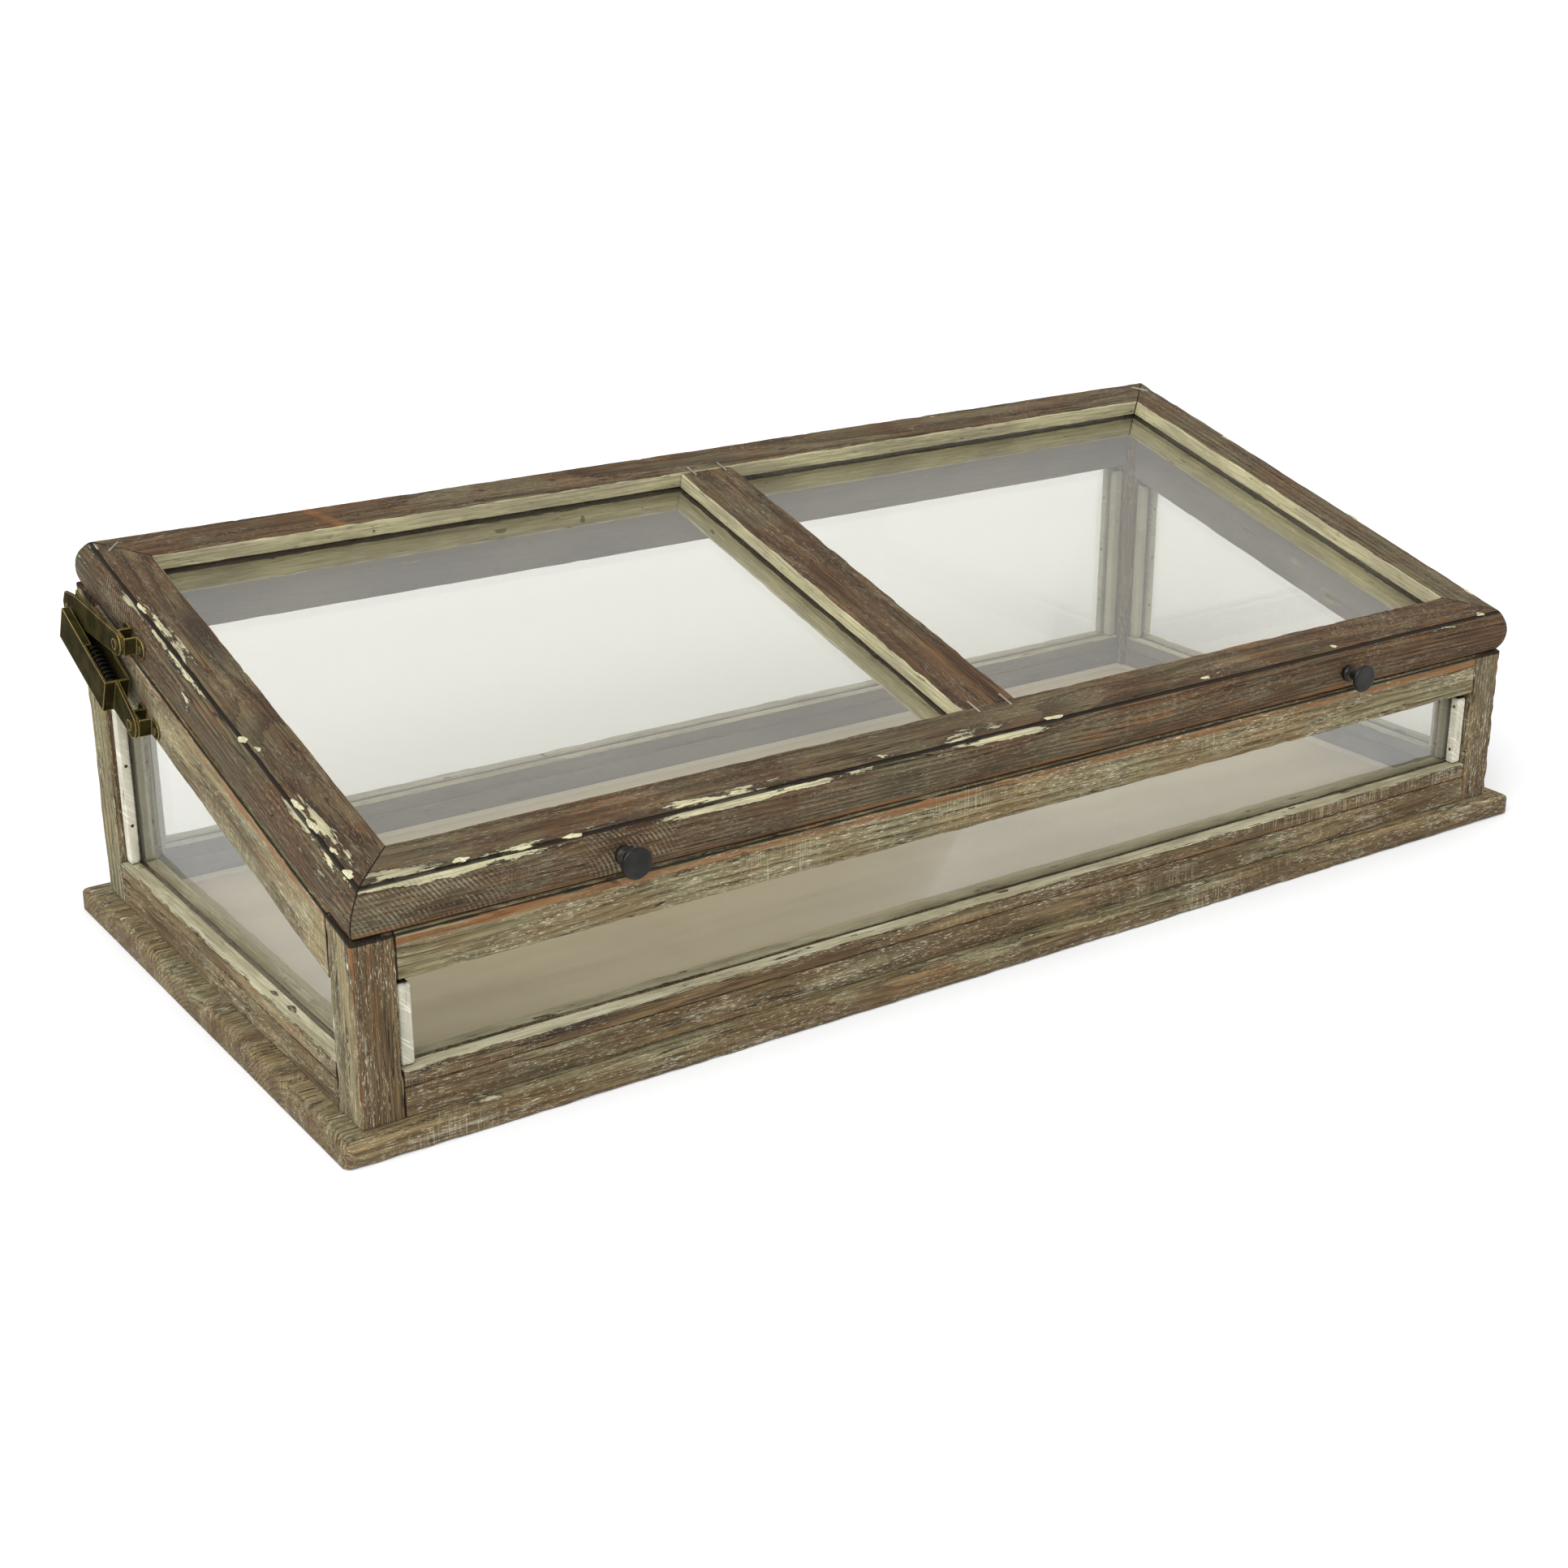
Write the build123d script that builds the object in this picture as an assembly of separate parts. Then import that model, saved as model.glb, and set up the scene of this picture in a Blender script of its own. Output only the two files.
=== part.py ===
from build123d import *
import os
from math import atan2, cos, degrees, hypot, radians, sin, tan

# Cold frame: a low timber box with glazed walls and a sloping glazed lid hinged along the rear.
# X runs along the length, Y from the front to the rear, Z up.
# The origin is on the underside of the base, below the middle of the body.

# ---------------------------------------------------------------- driving dimensions (mm, degrees)
body_length = 1064.0          # over the posts
body_depth = 474.0            # over the posts
seam_height_front = 148.0     # top of the body at its front face
seam_height_rear = 270.0      # top of the body at its rear face

base_thickness = 18.0
base_edge_radius = 8.0
base_overhang_front = 13.0
base_overhang_rear = 18.0
base_overhang_side = 18.0
base_outer_board_width = 165.0
floor_thickness = 6.0
floor_clearance = 2.0

post_width = 31.0             # along X
post_depth = 36.0             # along Y
post_chamfer = 1.5
wall_thickness = 28.0
bottom_rail_height = 22.0
sill_height = 12.0
front_top_rail_depth = 31.5
top_rail_depth = 44.0         # rear and side top rails

glass_thickness = 4.0
groove_clearance = 0.5
wall_glass_setback = 13.0     # outer face of the wall to the outer face of the glass
sill_groove_depth = 4.0
rail_groove_depth = 8.0
glass_lap_in_rail = 6.0
bead_setback = 4.5            # outer face of the wall to the face of the outer bead
bead_width = 11.0
inner_bead_thickness = 8.0
bead_end_gap = 1.5
bead_pin_radius = 0.8
bead_pin_head_radius = 1.4
bead_pin_head_thickness = 0.6
bead_pin_length = 22.0

lid_gap = 1.0                 # between the body and the closed lid
lid_thickness = 36.5
lid_member_width = 44.0
lid_underside_inset = 3.0     # from the lid's outer edge in to its flat underside
lid_quirk_inset = 8.0         # from the lid's outer edge in to the groove beside the rounded nose
lid_quirk_width = 1.6
lid_quirk_depth = 1.2
lid_glass_drop = 14.0         # lid top down to the top of the glass
lid_groove_depth = 8.0
lid_glass_lap = 6.5
centre_bar_width = 50.0
centre_bar_drop = 1.0
tenon_length = 7.0

staple_wire_radius = 0.8
staple_crown = 16.0
staple_leg = 9.0
bar_staple_spread = 15.0      # bar centre line to each staple

knob_spacing = 676.0
knob_head_radius = 11.5
knob_head_thickness = 4.0
knob_neck_radius = 4.2
knob_collar_radius = 7.0
knob_collar_depth = 6.0
knob_collar_round = 1.5
knob_collar_step = 1.0        # length over which the collar drops to the neck
knob_head_flare = 3.0         # length over which the neck opens into the head
knob_projection = 21.0
knob_stem_radius = 3.0
knob_stem_length = 18.0

hinge_spacing = 720.0
hinge_length = 64.0
hinge_leaf_width = 24.0
hinge_leaf_thickness = 1.4
hinge_leaf_split = 0.2        # between the two closed leaves
hinge_knuckle_radius = 3.2
hinge_knuckle_gap = 0.3
hinge_knuckle_count = 5
hinge_pin_radius = 1.5
hinge_pin_clearance = 0.05
hinge_wood_clearance = 0.6    # rear face of the body to the knuckle
hinge_screw_count = 3
screw_head_radius = 3.4
screw_shank_radius = 1.8
screw_hole_clearance = 0.3
hinge_screw_length = 16.0
hinge_screw_margin = 10.0     # end of a leaf to the middle of its first screw
hinge_screw_sink = 0.1        # screw head below the leaf's face

stay_pivot_on_lid = (128.6, 17.4)      # run forward of the hinge axis along the seam, height above the axis
stay_pivot_on_body = (157.2, -34.1)
stay_knuckle = (27.6, -7.4)
stay_metal = 1.5
bracket_strap_width = 14.0
bracket_foot_length = 13.0
bracket_bridge_length = 15.0
bracket_bridge_height = 11.0
bracket_screw_radius = 1.7
bracket_screw_head_radius = 3.2
bracket_screw_head_height = 1.6
bracket_screw_dome = 0.96     # rounding of the screw's head
bracket_screw_length = 14.0
rivet_radius = 2.4
rivet_head_radius = 4.2
rivet_head_thickness = 1.4
rivet_shoulder_radius = 7.0
rivet_shoulder_thickness = 0.8
rivet_clearance = 0.05
rivet_seat = 0.5              # a rivet's shank past the inside of its bracket's bridge
pivot_side_play = 0.1
arm_thickness = 2.4
arm_end_radius = 9.0
arm_tail = [(-8.0, -8.0), (-10.0, 3.0), (-4.0, 12.0), (18.0, 14.0)]   # the arm's outline round the knuckle
arm_belly = (8.0, -8.0)
arm_corner_radius = 3.0
tongue_end_radius = 10.0
channel_inner_face = 4.0      # body side to the channel's inner wall
channel_width = 18.5
channel_length = 100.0        # knuckle to the channel's front plate
channel_back = 9.0            # walls past the knuckle
channel_top_at_knuckle = 8.0
channel_top_at_plate = 13.5
channel_bottom_at_knuckle = 19.5
channel_bottom_at_plate = 14.0
channel_outer_start = 9.0     # knuckle to the rear end of the channel's outer wall
channel_shoulder_gap = 1.3    # arm to the shoulder that closes the outer wall's rear end
channel_lip_width = 6.0
channel_lip_start = 10.0
channel_lip_length = 45.0
knuckle_pin_radius = 3.0
knuckle_pin_side_play = 0.3
knuckle_pin_head = 0.8        # pin past the arm's outer face
spring_wire_radius = 0.9
spring_outer_radius = 6.2
spring_pitch = 4.6
spring_turns = 10
spring_end_gap = 0.2          # last coil to the channel's front plate

# ---------------------------------------------------------------- worked-out frame values
half_length = body_length / 2
front_y = -body_depth / 2
rear_y = body_depth / 2
slope = atan2(seam_height_rear - seam_height_front, body_depth)
lid_slope_length = body_depth / cos(slope)

sill_bottom = base_thickness + bottom_rail_height
sill_top = sill_bottom + sill_height
groove_width = glass_thickness + groove_clearance
outer_bead_thickness = wall_glass_setback - bead_setback
inner_post_x = half_length - post_width
inner_post_y = rear_y - post_depth
lid_glass_bottom = lid_thickness - lid_glass_drop - glass_thickness
far = 2 * body_length

hinge_axis_run = hinge_knuckle_radius + hinge_wood_clearance
hinge_axis_y = rear_y + hinge_axis_run * cos(slope) - lid_gap / 2 * sin(slope)
hinge_axis_z = seam_height_rear + hinge_axis_run * sin(slope) + lid_gap / 2 * cos(slope)


def seam_z(y):
    """Height of the body's sloping top at depth y."""
    return seam_height_front + (y - front_y) * tan(slope)


def seam_point(run, rise):
    """Y and Z of a point given by its run forward of the hinge axis and its rise, both along the seam."""
    y = hinge_axis_y - run * cos(slope) - rise * sin(slope)
    z = hinge_axis_z - run * sin(slope) + rise * cos(slope)
    return y, z


lid_plane = Plane(
    origin=(0, front_y - lid_gap * sin(slope), seam_height_front + lid_gap * cos(slope)),
    x_dir=(1, 0, 0),
    z_dir=(0, -sin(slope), cos(slope)),
)


# ---------------------------------------------------------------- shared shapes
def block(x, y, z):
    """A box between the low and high values given for each axis."""
    size = [high - low for low, high in (x, y, z)]
    middle = [(high + low) / 2 for low, high in (x, y, z)]
    return Pos(*middle) * Box(*size)


def side_prism(points, x):
    """An outline in Y and Z, carried along X from the first value to the second."""
    face = Plane.YZ * make_face(Polyline(*points, close=True))
    return Pos(x[0], 0, 0) * extrude(face, x[1] - x[0])


def under_seam(y, z_bottom, x):
    """A solid from a level underside up to the body's sloping top."""
    return side_prism(
        [(y[0], z_bottom), (y[1], z_bottom), (y[1], seam_z(y[1])), (y[0], seam_z(y[0]))], x
    )


def parallel_to_seam(y, top_drop, bottom_drop, x):
    """A solid whose top and bottom both slope, at vertical drops below the seam."""
    return side_prism(
        [
            (y[0], seam_z(y[0]) - bottom_drop),
            (y[1], seam_z(y[1]) - bottom_drop),
            (y[1], seam_z(y[1]) - top_drop),
            (y[0], seam_z(y[0]) - top_drop),
        ],
        x,
    )


def mirrored(span, side):
    """A span of X on the right, or its mirror image on the left for side -1."""
    return tuple(sorted((side * span[0], side * span[1])))


def spread(count, low, high):
    """Evenly spaced places from low to high."""
    return [low + (high - low) * i / (count - 1) for i in range(count)]


nodes = {}


# ---------------------------------------------------------------- base and floor
def base_boards():
    """Three edge-jointed boards with a rounded outer top edge."""
    x = half_length + base_overhang_side
    y_low = front_y - base_overhang_front
    y_high = rear_y + base_overhang_rear
    slab = block((-x, x), (y_low, y_high), (0, base_thickness))
    slab = fillet(slab.edges().group_by(Axis.Z)[-1], base_edge_radius)
    cuts = [y_low, y_low + base_outer_board_width, y_high - base_outer_board_width, y_high]
    for name, low, high in zip(("front", "middle", "rear"), cuts, cuts[1:]):
        nodes[f"base_board_{name}"] = slab & block((-far, far), (low, high), (-far, far))


def floor_panel():
    """A thin sheet laid between the bottom rails, notched round the posts."""
    x = half_length - wall_thickness - floor_clearance
    y = rear_y - wall_thickness - floor_clearance
    z = (base_thickness, base_thickness + floor_thickness)
    sheet = block((-x, x), (-y, y), z)
    notch_x = inner_post_x - floor_clearance
    notch_y = inner_post_y - floor_clearance
    for side_x in (-1, 1):
        for side_y in (-1, 1):
            sheet -= block(mirrored((notch_x, far), side_x), mirrored((notch_y, far), side_y), z)
    nodes["floor_panel"] = sheet


# ---------------------------------------------------------------- timber of the body
def corner_posts():
    """Four posts, cut to the slope at the top, with a small chamfer on the outer arris."""
    for side, name in ((-1, "left"), (1, "right")):
        x = mirrored((inner_post_x, half_length), side)
        for place, y in (("front", (front_y, -inner_post_y)), ("rear", (inner_post_y, rear_y))):
            post = under_seam(y, base_thickness, x)
            corner_y = front_y if place == "front" else rear_y
            arris = [
                edge
                for edge in post.edges().filter_by(Axis.Z)
                if abs(edge.center().X - side * half_length) < 0.1 and abs(edge.center().Y - corner_y) < 0.1
            ]
            nodes[f"post_{place}_{name}"] = chamfer(arris, post_chamfer)


def long_wall(place, side, top_rail_height):
    """Rails and sill of the front wall (side -1) or the rear wall (side 1)."""
    x = (-inner_post_x, inner_post_x)
    y = mirrored((rear_y - wall_thickness, rear_y), side)
    glass_y = mirrored(
        (rear_y - wall_glass_setback - groove_width, rear_y - wall_glass_setback), side
    )
    nodes[f"bottom_rail_{place}"] = block(x, y, (base_thickness, sill_bottom))
    sill = block(x, y, (sill_bottom, sill_top))
    nodes[f"sill_{place}"] = sill - block(x, glass_y, (sill_top - sill_groove_depth, sill_top))
    rail_bottom = seam_z(side * rear_y) - top_rail_height
    rail = under_seam(y, rail_bottom, x)
    nodes[f"top_rail_{place}"] = rail - block(x, glass_y, (rail_bottom, rail_bottom + rail_groove_depth))
    glass_y = mirrored(
        (rear_y - wall_glass_setback - glass_thickness, rear_y - wall_glass_setback), side
    )
    nodes[f"glass_{place}"] = block(
        x, glass_y, (sill_top - sill_groove_depth, rail_bottom + glass_lap_in_rail)
    )
    strips = {
        "outer": (rear_y - wall_glass_setback, rear_y - bead_setback),
        "inner": (
            rear_y - wall_glass_setback - glass_thickness - inner_bead_thickness,
            rear_y - wall_glass_setback - glass_thickness,
        ),
    }
    for layer, span in strips.items():
        bead = block(
            (inner_post_x - bead_width, inner_post_x),
            mirrored(span, side),
            (sill_top, rail_bottom - bead_end_gap),
        )
        nodes[f"{layer}_beads_{place}"] = Compound([bead, mirror(bead, Plane.YZ)])


def side_wall(name, side):
    """Rails, sill, glass and beads of the left wall (side -1) or the right wall (side 1)."""
    y = (-inner_post_y, inner_post_y)
    wall_x = mirrored((half_length - wall_thickness, half_length), side)
    groove_x = mirrored(
        (half_length - wall_glass_setback - groove_width, half_length - wall_glass_setback), side
    )
    glass_x = mirrored(
        (half_length - wall_glass_setback - glass_thickness, half_length - wall_glass_setback), side
    )
    rail_drop = top_rail_depth / cos(slope)
    nodes[f"bottom_rail_{name}"] = block(wall_x, y, (base_thickness, sill_bottom))
    sill = block(wall_x, y, (sill_bottom, sill_top))
    nodes[f"sill_{name}"] = sill - block(groove_x, y, (sill_top - sill_groove_depth, sill_top))
    rail = parallel_to_seam(y, 0, rail_drop, wall_x)
    groove = parallel_to_seam(y, rail_drop - rail_groove_depth, rail_drop, groove_x)
    nodes[f"top_rail_{name}"] = rail - groove
    glass_bottom = sill_top - sill_groove_depth
    glass_drop = rail_drop - glass_lap_in_rail
    nodes[f"glass_{name}"] = side_prism(
        [
            (y[0], glass_bottom),
            (y[1], glass_bottom),
            (y[1], seam_z(y[1]) - glass_drop),
            (y[0], seam_z(y[0]) - glass_drop),
        ],
        glass_x,
    )
    strips = {
        "outer": (half_length - wall_glass_setback, half_length - bead_setback),
        "inner": (
            half_length - wall_glass_setback - glass_thickness - inner_bead_thickness,
            half_length - wall_glass_setback - glass_thickness,
        ),
    }
    drop = rail_drop + bead_end_gap
    for layer, span in strips.items():
        pair = []
        for low, high in ((y[0], y[0] + bead_width), (y[1] - bead_width, y[1])):
            points = [(low, sill_top), (high, sill_top), (high, seam_z(high) - drop), (low, seam_z(low) - drop)]
            pair.append(side_prism(points, mirrored(span, side)))
        nodes[f"{layer}_beads_{name}"] = Compound(pair)


def bead_pin(head, direction):
    """A small nail from its head along a direction."""
    plane = Plane(origin=head, z_dir=direction)
    pin = extrude(plane * Circle(bead_pin_radius), bead_pin_length)
    return pin + extrude(plane * Circle(bead_pin_head_radius), bead_pin_head_thickness)


def bead_pins():
    """Nails through each outer bead, from its opening side, into the post."""
    pins = []
    end_margin = 0.2
    for side in (-1, 1):
        x = side * (half_length - bead_setback - outer_bead_thickness / 2)
        for wall, top, count in ((-1, seam_z(front_y) - front_top_rail_depth, 2),
                                 (1, seam_z(rear_y) - top_rail_depth, 3)):
            y = wall * (rear_y - bead_setback - outer_bead_thickness / 2)
            margin = end_margin * (top - sill_top)
            for z in spread(count, sill_top + margin, top - margin):
                pins.append(bead_pin((side * (inner_post_x - bead_width), y, z), (side, 0, 0)))
        for end, count in ((-1, 2), (1, 3)):
            y = end * (inner_post_y - bead_width)
            top = seam_z(end * inner_post_y) - top_rail_depth / cos(slope)
            margin = end_margin * (top - sill_top)
            for z in spread(count, sill_top + margin, top - margin):
                pins.append(bead_pin((x, y, z), (0, end, 0)))
    nodes["bead_pins"] = Compound(pins)


# ---------------------------------------------------------------- lid
def lid_profile():
    """Section of a lid member: flat top, quirk, rounded nose, and a groove for the glass."""
    top = lid_thickness
    nose_top = top - lid_quirk_depth
    groove_low = lid_glass_bottom
    groove_high = lid_glass_bottom + groove_width
    groove_in = lid_member_width - lid_groove_depth
    nose = ThreePointArc((lid_quirk_inset, nose_top), (0, lid_thickness / 2), (lid_underside_inset, 0))
    rest = Polyline(
        (lid_underside_inset, 0),
        (lid_member_width, 0),
        (lid_member_width, groove_low),
        (groove_in, groove_low),
        (groove_in, groove_high),
        (lid_member_width, groove_high),
        (lid_member_width, top),
        (lid_quirk_inset + lid_quirk_width, top),
        (lid_quirk_inset + lid_quirk_width, nose_top),
        (lid_quirk_inset, nose_top),
    )
    return Plane.YZ * make_face([nose, rest])


def mitred_member(length):
    """A lid member along X with its outer edge at Y = 0 and its ends cut at 45 degrees."""
    bar = Pos(-length / 2, 0, 0) * extrude(lid_profile(), length)
    half = length / 2
    width = lid_member_width
    plan = make_face(Polyline((-half, 0), (half, 0), (half - width, width), (width - half, width), close=True))
    return bar & extrude(plan, lid_thickness)


def lid_frame():
    """Front and rear rails and two stiles, mitred at the corners."""
    rail = mitred_member(body_length)
    stile = mitred_member(lid_slope_length)
    places = {
        "lid_front_rail": rail,
        "lid_rear_rail": Pos(0, lid_slope_length, 0) * Rot(0, 0, 180) * rail,
        "lid_left_stile": Pos(-half_length, lid_slope_length / 2, 0) * Rot(0, 0, -90) * stile,
        "lid_right_stile": Pos(half_length, lid_slope_length / 2, 0) * Rot(0, 0, 90) * stile,
    }
    for name, member in places.items():
        nodes[name] = member


def centre_bar():
    """A flat bar between the rails, grooved on both sides, with stub tenons in the rails' grooves."""
    half = centre_bar_width / 2
    y = (lid_member_width, lid_slope_length - lid_member_width)
    bar = block((-half, half), y, (0, lid_thickness - centre_bar_drop))
    groove_z = (lid_glass_bottom, lid_glass_bottom + groove_width)
    for side in (-1, 1):
        bar -= block(mirrored((half - lid_groove_depth, half), side), y, groove_z)
    tenon_half = half - lid_groove_depth
    tenon_z = (lid_glass_bottom, lid_glass_bottom + glass_thickness)
    bar += block((-tenon_half, tenon_half), (y[0] - tenon_length, y[1] + tenon_length), tenon_z)
    nodes["lid_centre_bar"] = bar


def lid_glass():
    """Two panes, each lying in the grooves round its opening."""
    inner_x = centre_bar_width / 2 - lid_glass_lap
    outer_x = half_length - lid_member_width + lid_glass_lap
    y = (lid_member_width - lid_glass_lap, lid_slope_length - lid_member_width + lid_glass_lap)
    z = (lid_glass_bottom, lid_glass_bottom + glass_thickness)
    for side, name in ((-1, "left"), (1, "right")):
        nodes[f"lid_glass_{name}"] = block(mirrored((inner_x, outer_x), side), y, z)


def staple(centre, angle, top):
    """A crown staple lying half sunk in the top, its legs driven down."""
    half = staple_crown / 2 - staple_wire_radius
    wire = Pos(-half, 0, 0) * Rot(0, 90, 0) * Cylinder(
        staple_wire_radius, 2 * half, align=(Align.CENTER, Align.CENTER, Align.MIN)
    )
    for side in (-1, 1):
        wire += Pos(side * half, 0, 0) * Cylinder(
            staple_wire_radius, staple_leg, align=(Align.CENTER, Align.CENTER, Align.MAX)
        )
        wire += Pos(side * half, 0, 0) * Sphere(staple_wire_radius)
    return Pos(centre[0], centre[1], top) * Rot(0, 0, angle) * wire


def lid_staples():
    """Staples across the bar's two ends and across the two rear mitres."""
    staples = []
    bar_ends = (lid_member_width, lid_slope_length - lid_member_width)
    for y in bar_ends:
        for side in (-1, 1):
            staples.append(staple((side * bar_staple_spread, y), 90, lid_thickness))
    mitre = lid_member_width / 2
    for side in (-1, 1):
        centre = (side * (half_length - mitre), lid_slope_length - mitre)
        staples.append(staple(centre, -45 * side, lid_thickness))
    nodes["lid_staples"] = Compound(staples)


def knob_profile():
    """Half section of a knob on its axis: stem, collar, neck and a flat rounded head."""
    head_low = knob_projection - knob_head_thickness
    edge = knob_head_thickness / 2
    collar_edge = knob_collar_radius - knob_collar_round
    neck_start = knob_collar_depth + knob_collar_step
    return make_face(
        [
            Polyline(
                (0, knob_projection),
                (0, -knob_stem_length),
                (knob_stem_radius, -knob_stem_length),
                (knob_stem_radius, 0),
                (collar_edge, 0),
            ),
            ThreePointArc(
                (collar_edge, 0),
                (knob_collar_radius, knob_collar_depth / 2),
                (collar_edge, knob_collar_depth),
            ),
            Line((collar_edge, knob_collar_depth), (knob_neck_radius, neck_start)),
            Line((knob_neck_radius, neck_start), (knob_neck_radius, head_low - knob_head_flare)),
            Line((knob_neck_radius, head_low - knob_head_flare), (knob_head_radius - edge, head_low)),
            ThreePointArc(
                (knob_head_radius - edge, head_low),
                (knob_head_radius, head_low + edge),
                (knob_head_radius - edge, knob_projection),
            ),
            Line((knob_head_radius - edge, knob_projection), (0, knob_projection)),
        ]
    )


def knobs():
    """Two pull knobs that stand straight out of the lid's front nose."""
    nose = lid_plane.from_local_coords((0, 0, lid_thickness / 2))
    knob = revolve(knob_profile(), Axis.Y)
    for side, name in ((-1, "left"), (1, "right")):
        place = Pos(side * knob_spacing / 2, nose.Y, nose.Z) * Rot(180, 0, 0)
        nodes[f"knob_{name}"] = place * knob


# ---------------------------------------------------------------- rear hinges
hinge_plane = Plane(
    origin=(0, hinge_axis_y, hinge_axis_z), x_dir=(1, 0, 0), z_dir=(0, -sin(slope), cos(slope))
)


def hinge_leaf(face_side, knuckles):
    """One leaf lying on the seam, above (1) or below (-1) it, with its share of the knuckles."""
    half = hinge_length / 2
    leaf_z = mirrored((hinge_leaf_split / 2, hinge_leaf_split / 2 + hinge_leaf_thickness), face_side)
    leaf = block((-half, half), (-hinge_leaf_width - hinge_axis_run, 0), leaf_z)
    step = hinge_length / hinge_knuckle_count
    for index in range(hinge_knuckle_count):
        low = -half + index * step
        own = index in knuckles
        trim = hinge_knuckle_gap / 2 if own else -hinge_knuckle_gap / 2
        radius = hinge_knuckle_radius if own else hinge_knuckle_radius + hinge_knuckle_gap
        barrel = Pos(low + trim, 0, 0) * Rot(0, 90, 0) * Cylinder(
            radius, step - 2 * trim, align=(Align.CENTER, Align.CENTER, Align.MIN)
        )
        leaf = leaf + barrel if own else leaf - barrel
    bore = Rot(0, 90, 0) * Cylinder(hinge_pin_radius + hinge_pin_clearance, 2 * hinge_length)
    leaf -= bore
    leaf &= block((-half, half), (-far, far), (-far, far))
    for x in hinge_screw_places():
        leaf -= Pos(x, hinge_screw_y(), 0) * screw_hole(face_side)
    return leaf


def hinge_screw_places():
    """Where a leaf's screws stand along it."""
    reach = hinge_length / 2 - hinge_screw_margin
    return spread(hinge_screw_count, -reach, reach)


def hinge_screw_y():
    """Where a leaf's screws stand across it: midway, forward of the hinge axis."""
    return -hinge_axis_run - hinge_leaf_width / 2


def screw_hole(face_side):
    """A countersunk hole through a leaf, wide at the seam."""
    low = hinge_leaf_split / 2
    cone = Cone(
        screw_shank_radius + screw_hole_clearance,
        screw_head_radius + screw_hole_clearance,
        hinge_leaf_thickness,
        align=(Align.CENTER, Align.CENTER, Align.MAX),
    )
    return Rot(0 if face_side < 0 else 180, 0, 0) * Pos(0, 0, -low) * cone


def countersunk_screw(face_side):
    """A screw whose flat head lies just under the seam and whose shank runs into the timber."""
    sink = hinge_leaf_split / 2 + hinge_screw_sink
    head_height = hinge_leaf_thickness - hinge_screw_sink
    head = Cone(
        screw_shank_radius,
        screw_head_radius,
        head_height,
        align=(Align.CENTER, Align.CENTER, Align.MAX),
    )
    shank = Pos(0, 0, -head_height) * Cylinder(
        screw_shank_radius, hinge_screw_length, align=(Align.CENTER, Align.CENTER, Align.MAX)
    )
    return Rot(0 if face_side < 0 else 180, 0, 0) * Pos(0, 0, -sink) * (head + shank)


def hinges():
    """Two butt hinges let into the body and the lid along the rear edge."""
    place = hinge_plane.location
    body_knuckles = tuple(range(0, hinge_knuckle_count, 2))
    lid_knuckles = tuple(range(1, hinge_knuckle_count, 2))
    pins = []
    screws = {"body": [], "lid": []}
    for side, name in ((-1, "left"), (1, "right")):
        shift = Pos(side * hinge_spacing / 2, 0, 0)
        nodes[f"hinge_body_leaf_{name}"] = place * shift * hinge_leaf(-1, body_knuckles)
        nodes[f"hinge_lid_leaf_{name}"] = place * shift * hinge_leaf(1, lid_knuckles)
        pins.append(place * shift * Rot(0, 90, 0) * Cylinder(hinge_pin_radius, hinge_length))
        for x in hinge_screw_places():
            spot = place * shift * Pos(x, hinge_screw_y(), 0)
            screws["body"].append(spot * countersunk_screw(-1))
            screws["lid"].append(spot * countersunk_screw(1))
    nodes["hinge_pins"] = Compound(pins)
    nodes["hinge_body_screws"] = Compound(screws["body"])
    nodes["hinge_lid_screws"] = Compound(screws["lid"])


def hinge_recess(face_side):
    """The shallow recesses that take the leaves."""
    cut = []
    leaf_z = mirrored((0, hinge_leaf_split / 2 + hinge_leaf_thickness), face_side)
    for side in (-1, 1):
        middle = side * hinge_spacing / 2
        x = (middle - hinge_length / 2, middle + hinge_length / 2)
        cut.append(hinge_plane.location * block(x, (-hinge_leaf_width - hinge_axis_run, 0), leaf_z))
    return cut


# ---------------------------------------------------------------- spring stay on the left side
def stay_plane(origin, toward=None):
    """A plane on the body's left side at a point, X towards another point or down the seam, Z outward."""
    if toward is None:
        direction = (-cos(slope), -sin(slope))
    else:
        direction = (toward[0] - origin[0], toward[1] - origin[1])
    length = hypot(*direction)
    return Plane(
        origin=(-half_length, *origin),
        x_dir=(0, direction[0] / length, direction[1] / length),
        z_dir=(-1, 0, 0),
    )


pivot_lid = seam_point(*stay_pivot_on_lid)
pivot_body = seam_point(*stay_pivot_on_body)
knuckle = seam_point(*stay_knuckle)
arm_length = hypot(pivot_lid[0] - knuckle[0], pivot_lid[1] - knuckle[1])
link_length = hypot(pivot_body[0] - knuckle[0], pivot_body[1] - knuckle[1])
arm_inner_face = bracket_bridge_height + rivet_shoulder_thickness + pivot_side_play
arm_span = (arm_inner_face, arm_inner_face + arm_thickness)


def disc(radius, centre, z):
    """A round plate on the stay's plane."""
    return Pos(centre[0], centre[1], z[0]) * Cylinder(
        radius, z[1] - z[0], align=(Align.CENTER, Align.CENTER, Align.MIN)
    )


def plate(points, z):
    """A flat plate with a straight-sided outline."""
    return Pos(0, 0, z[0]) * extrude(make_face(Polyline(*points, close=True)), z[1] - z[0])


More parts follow.
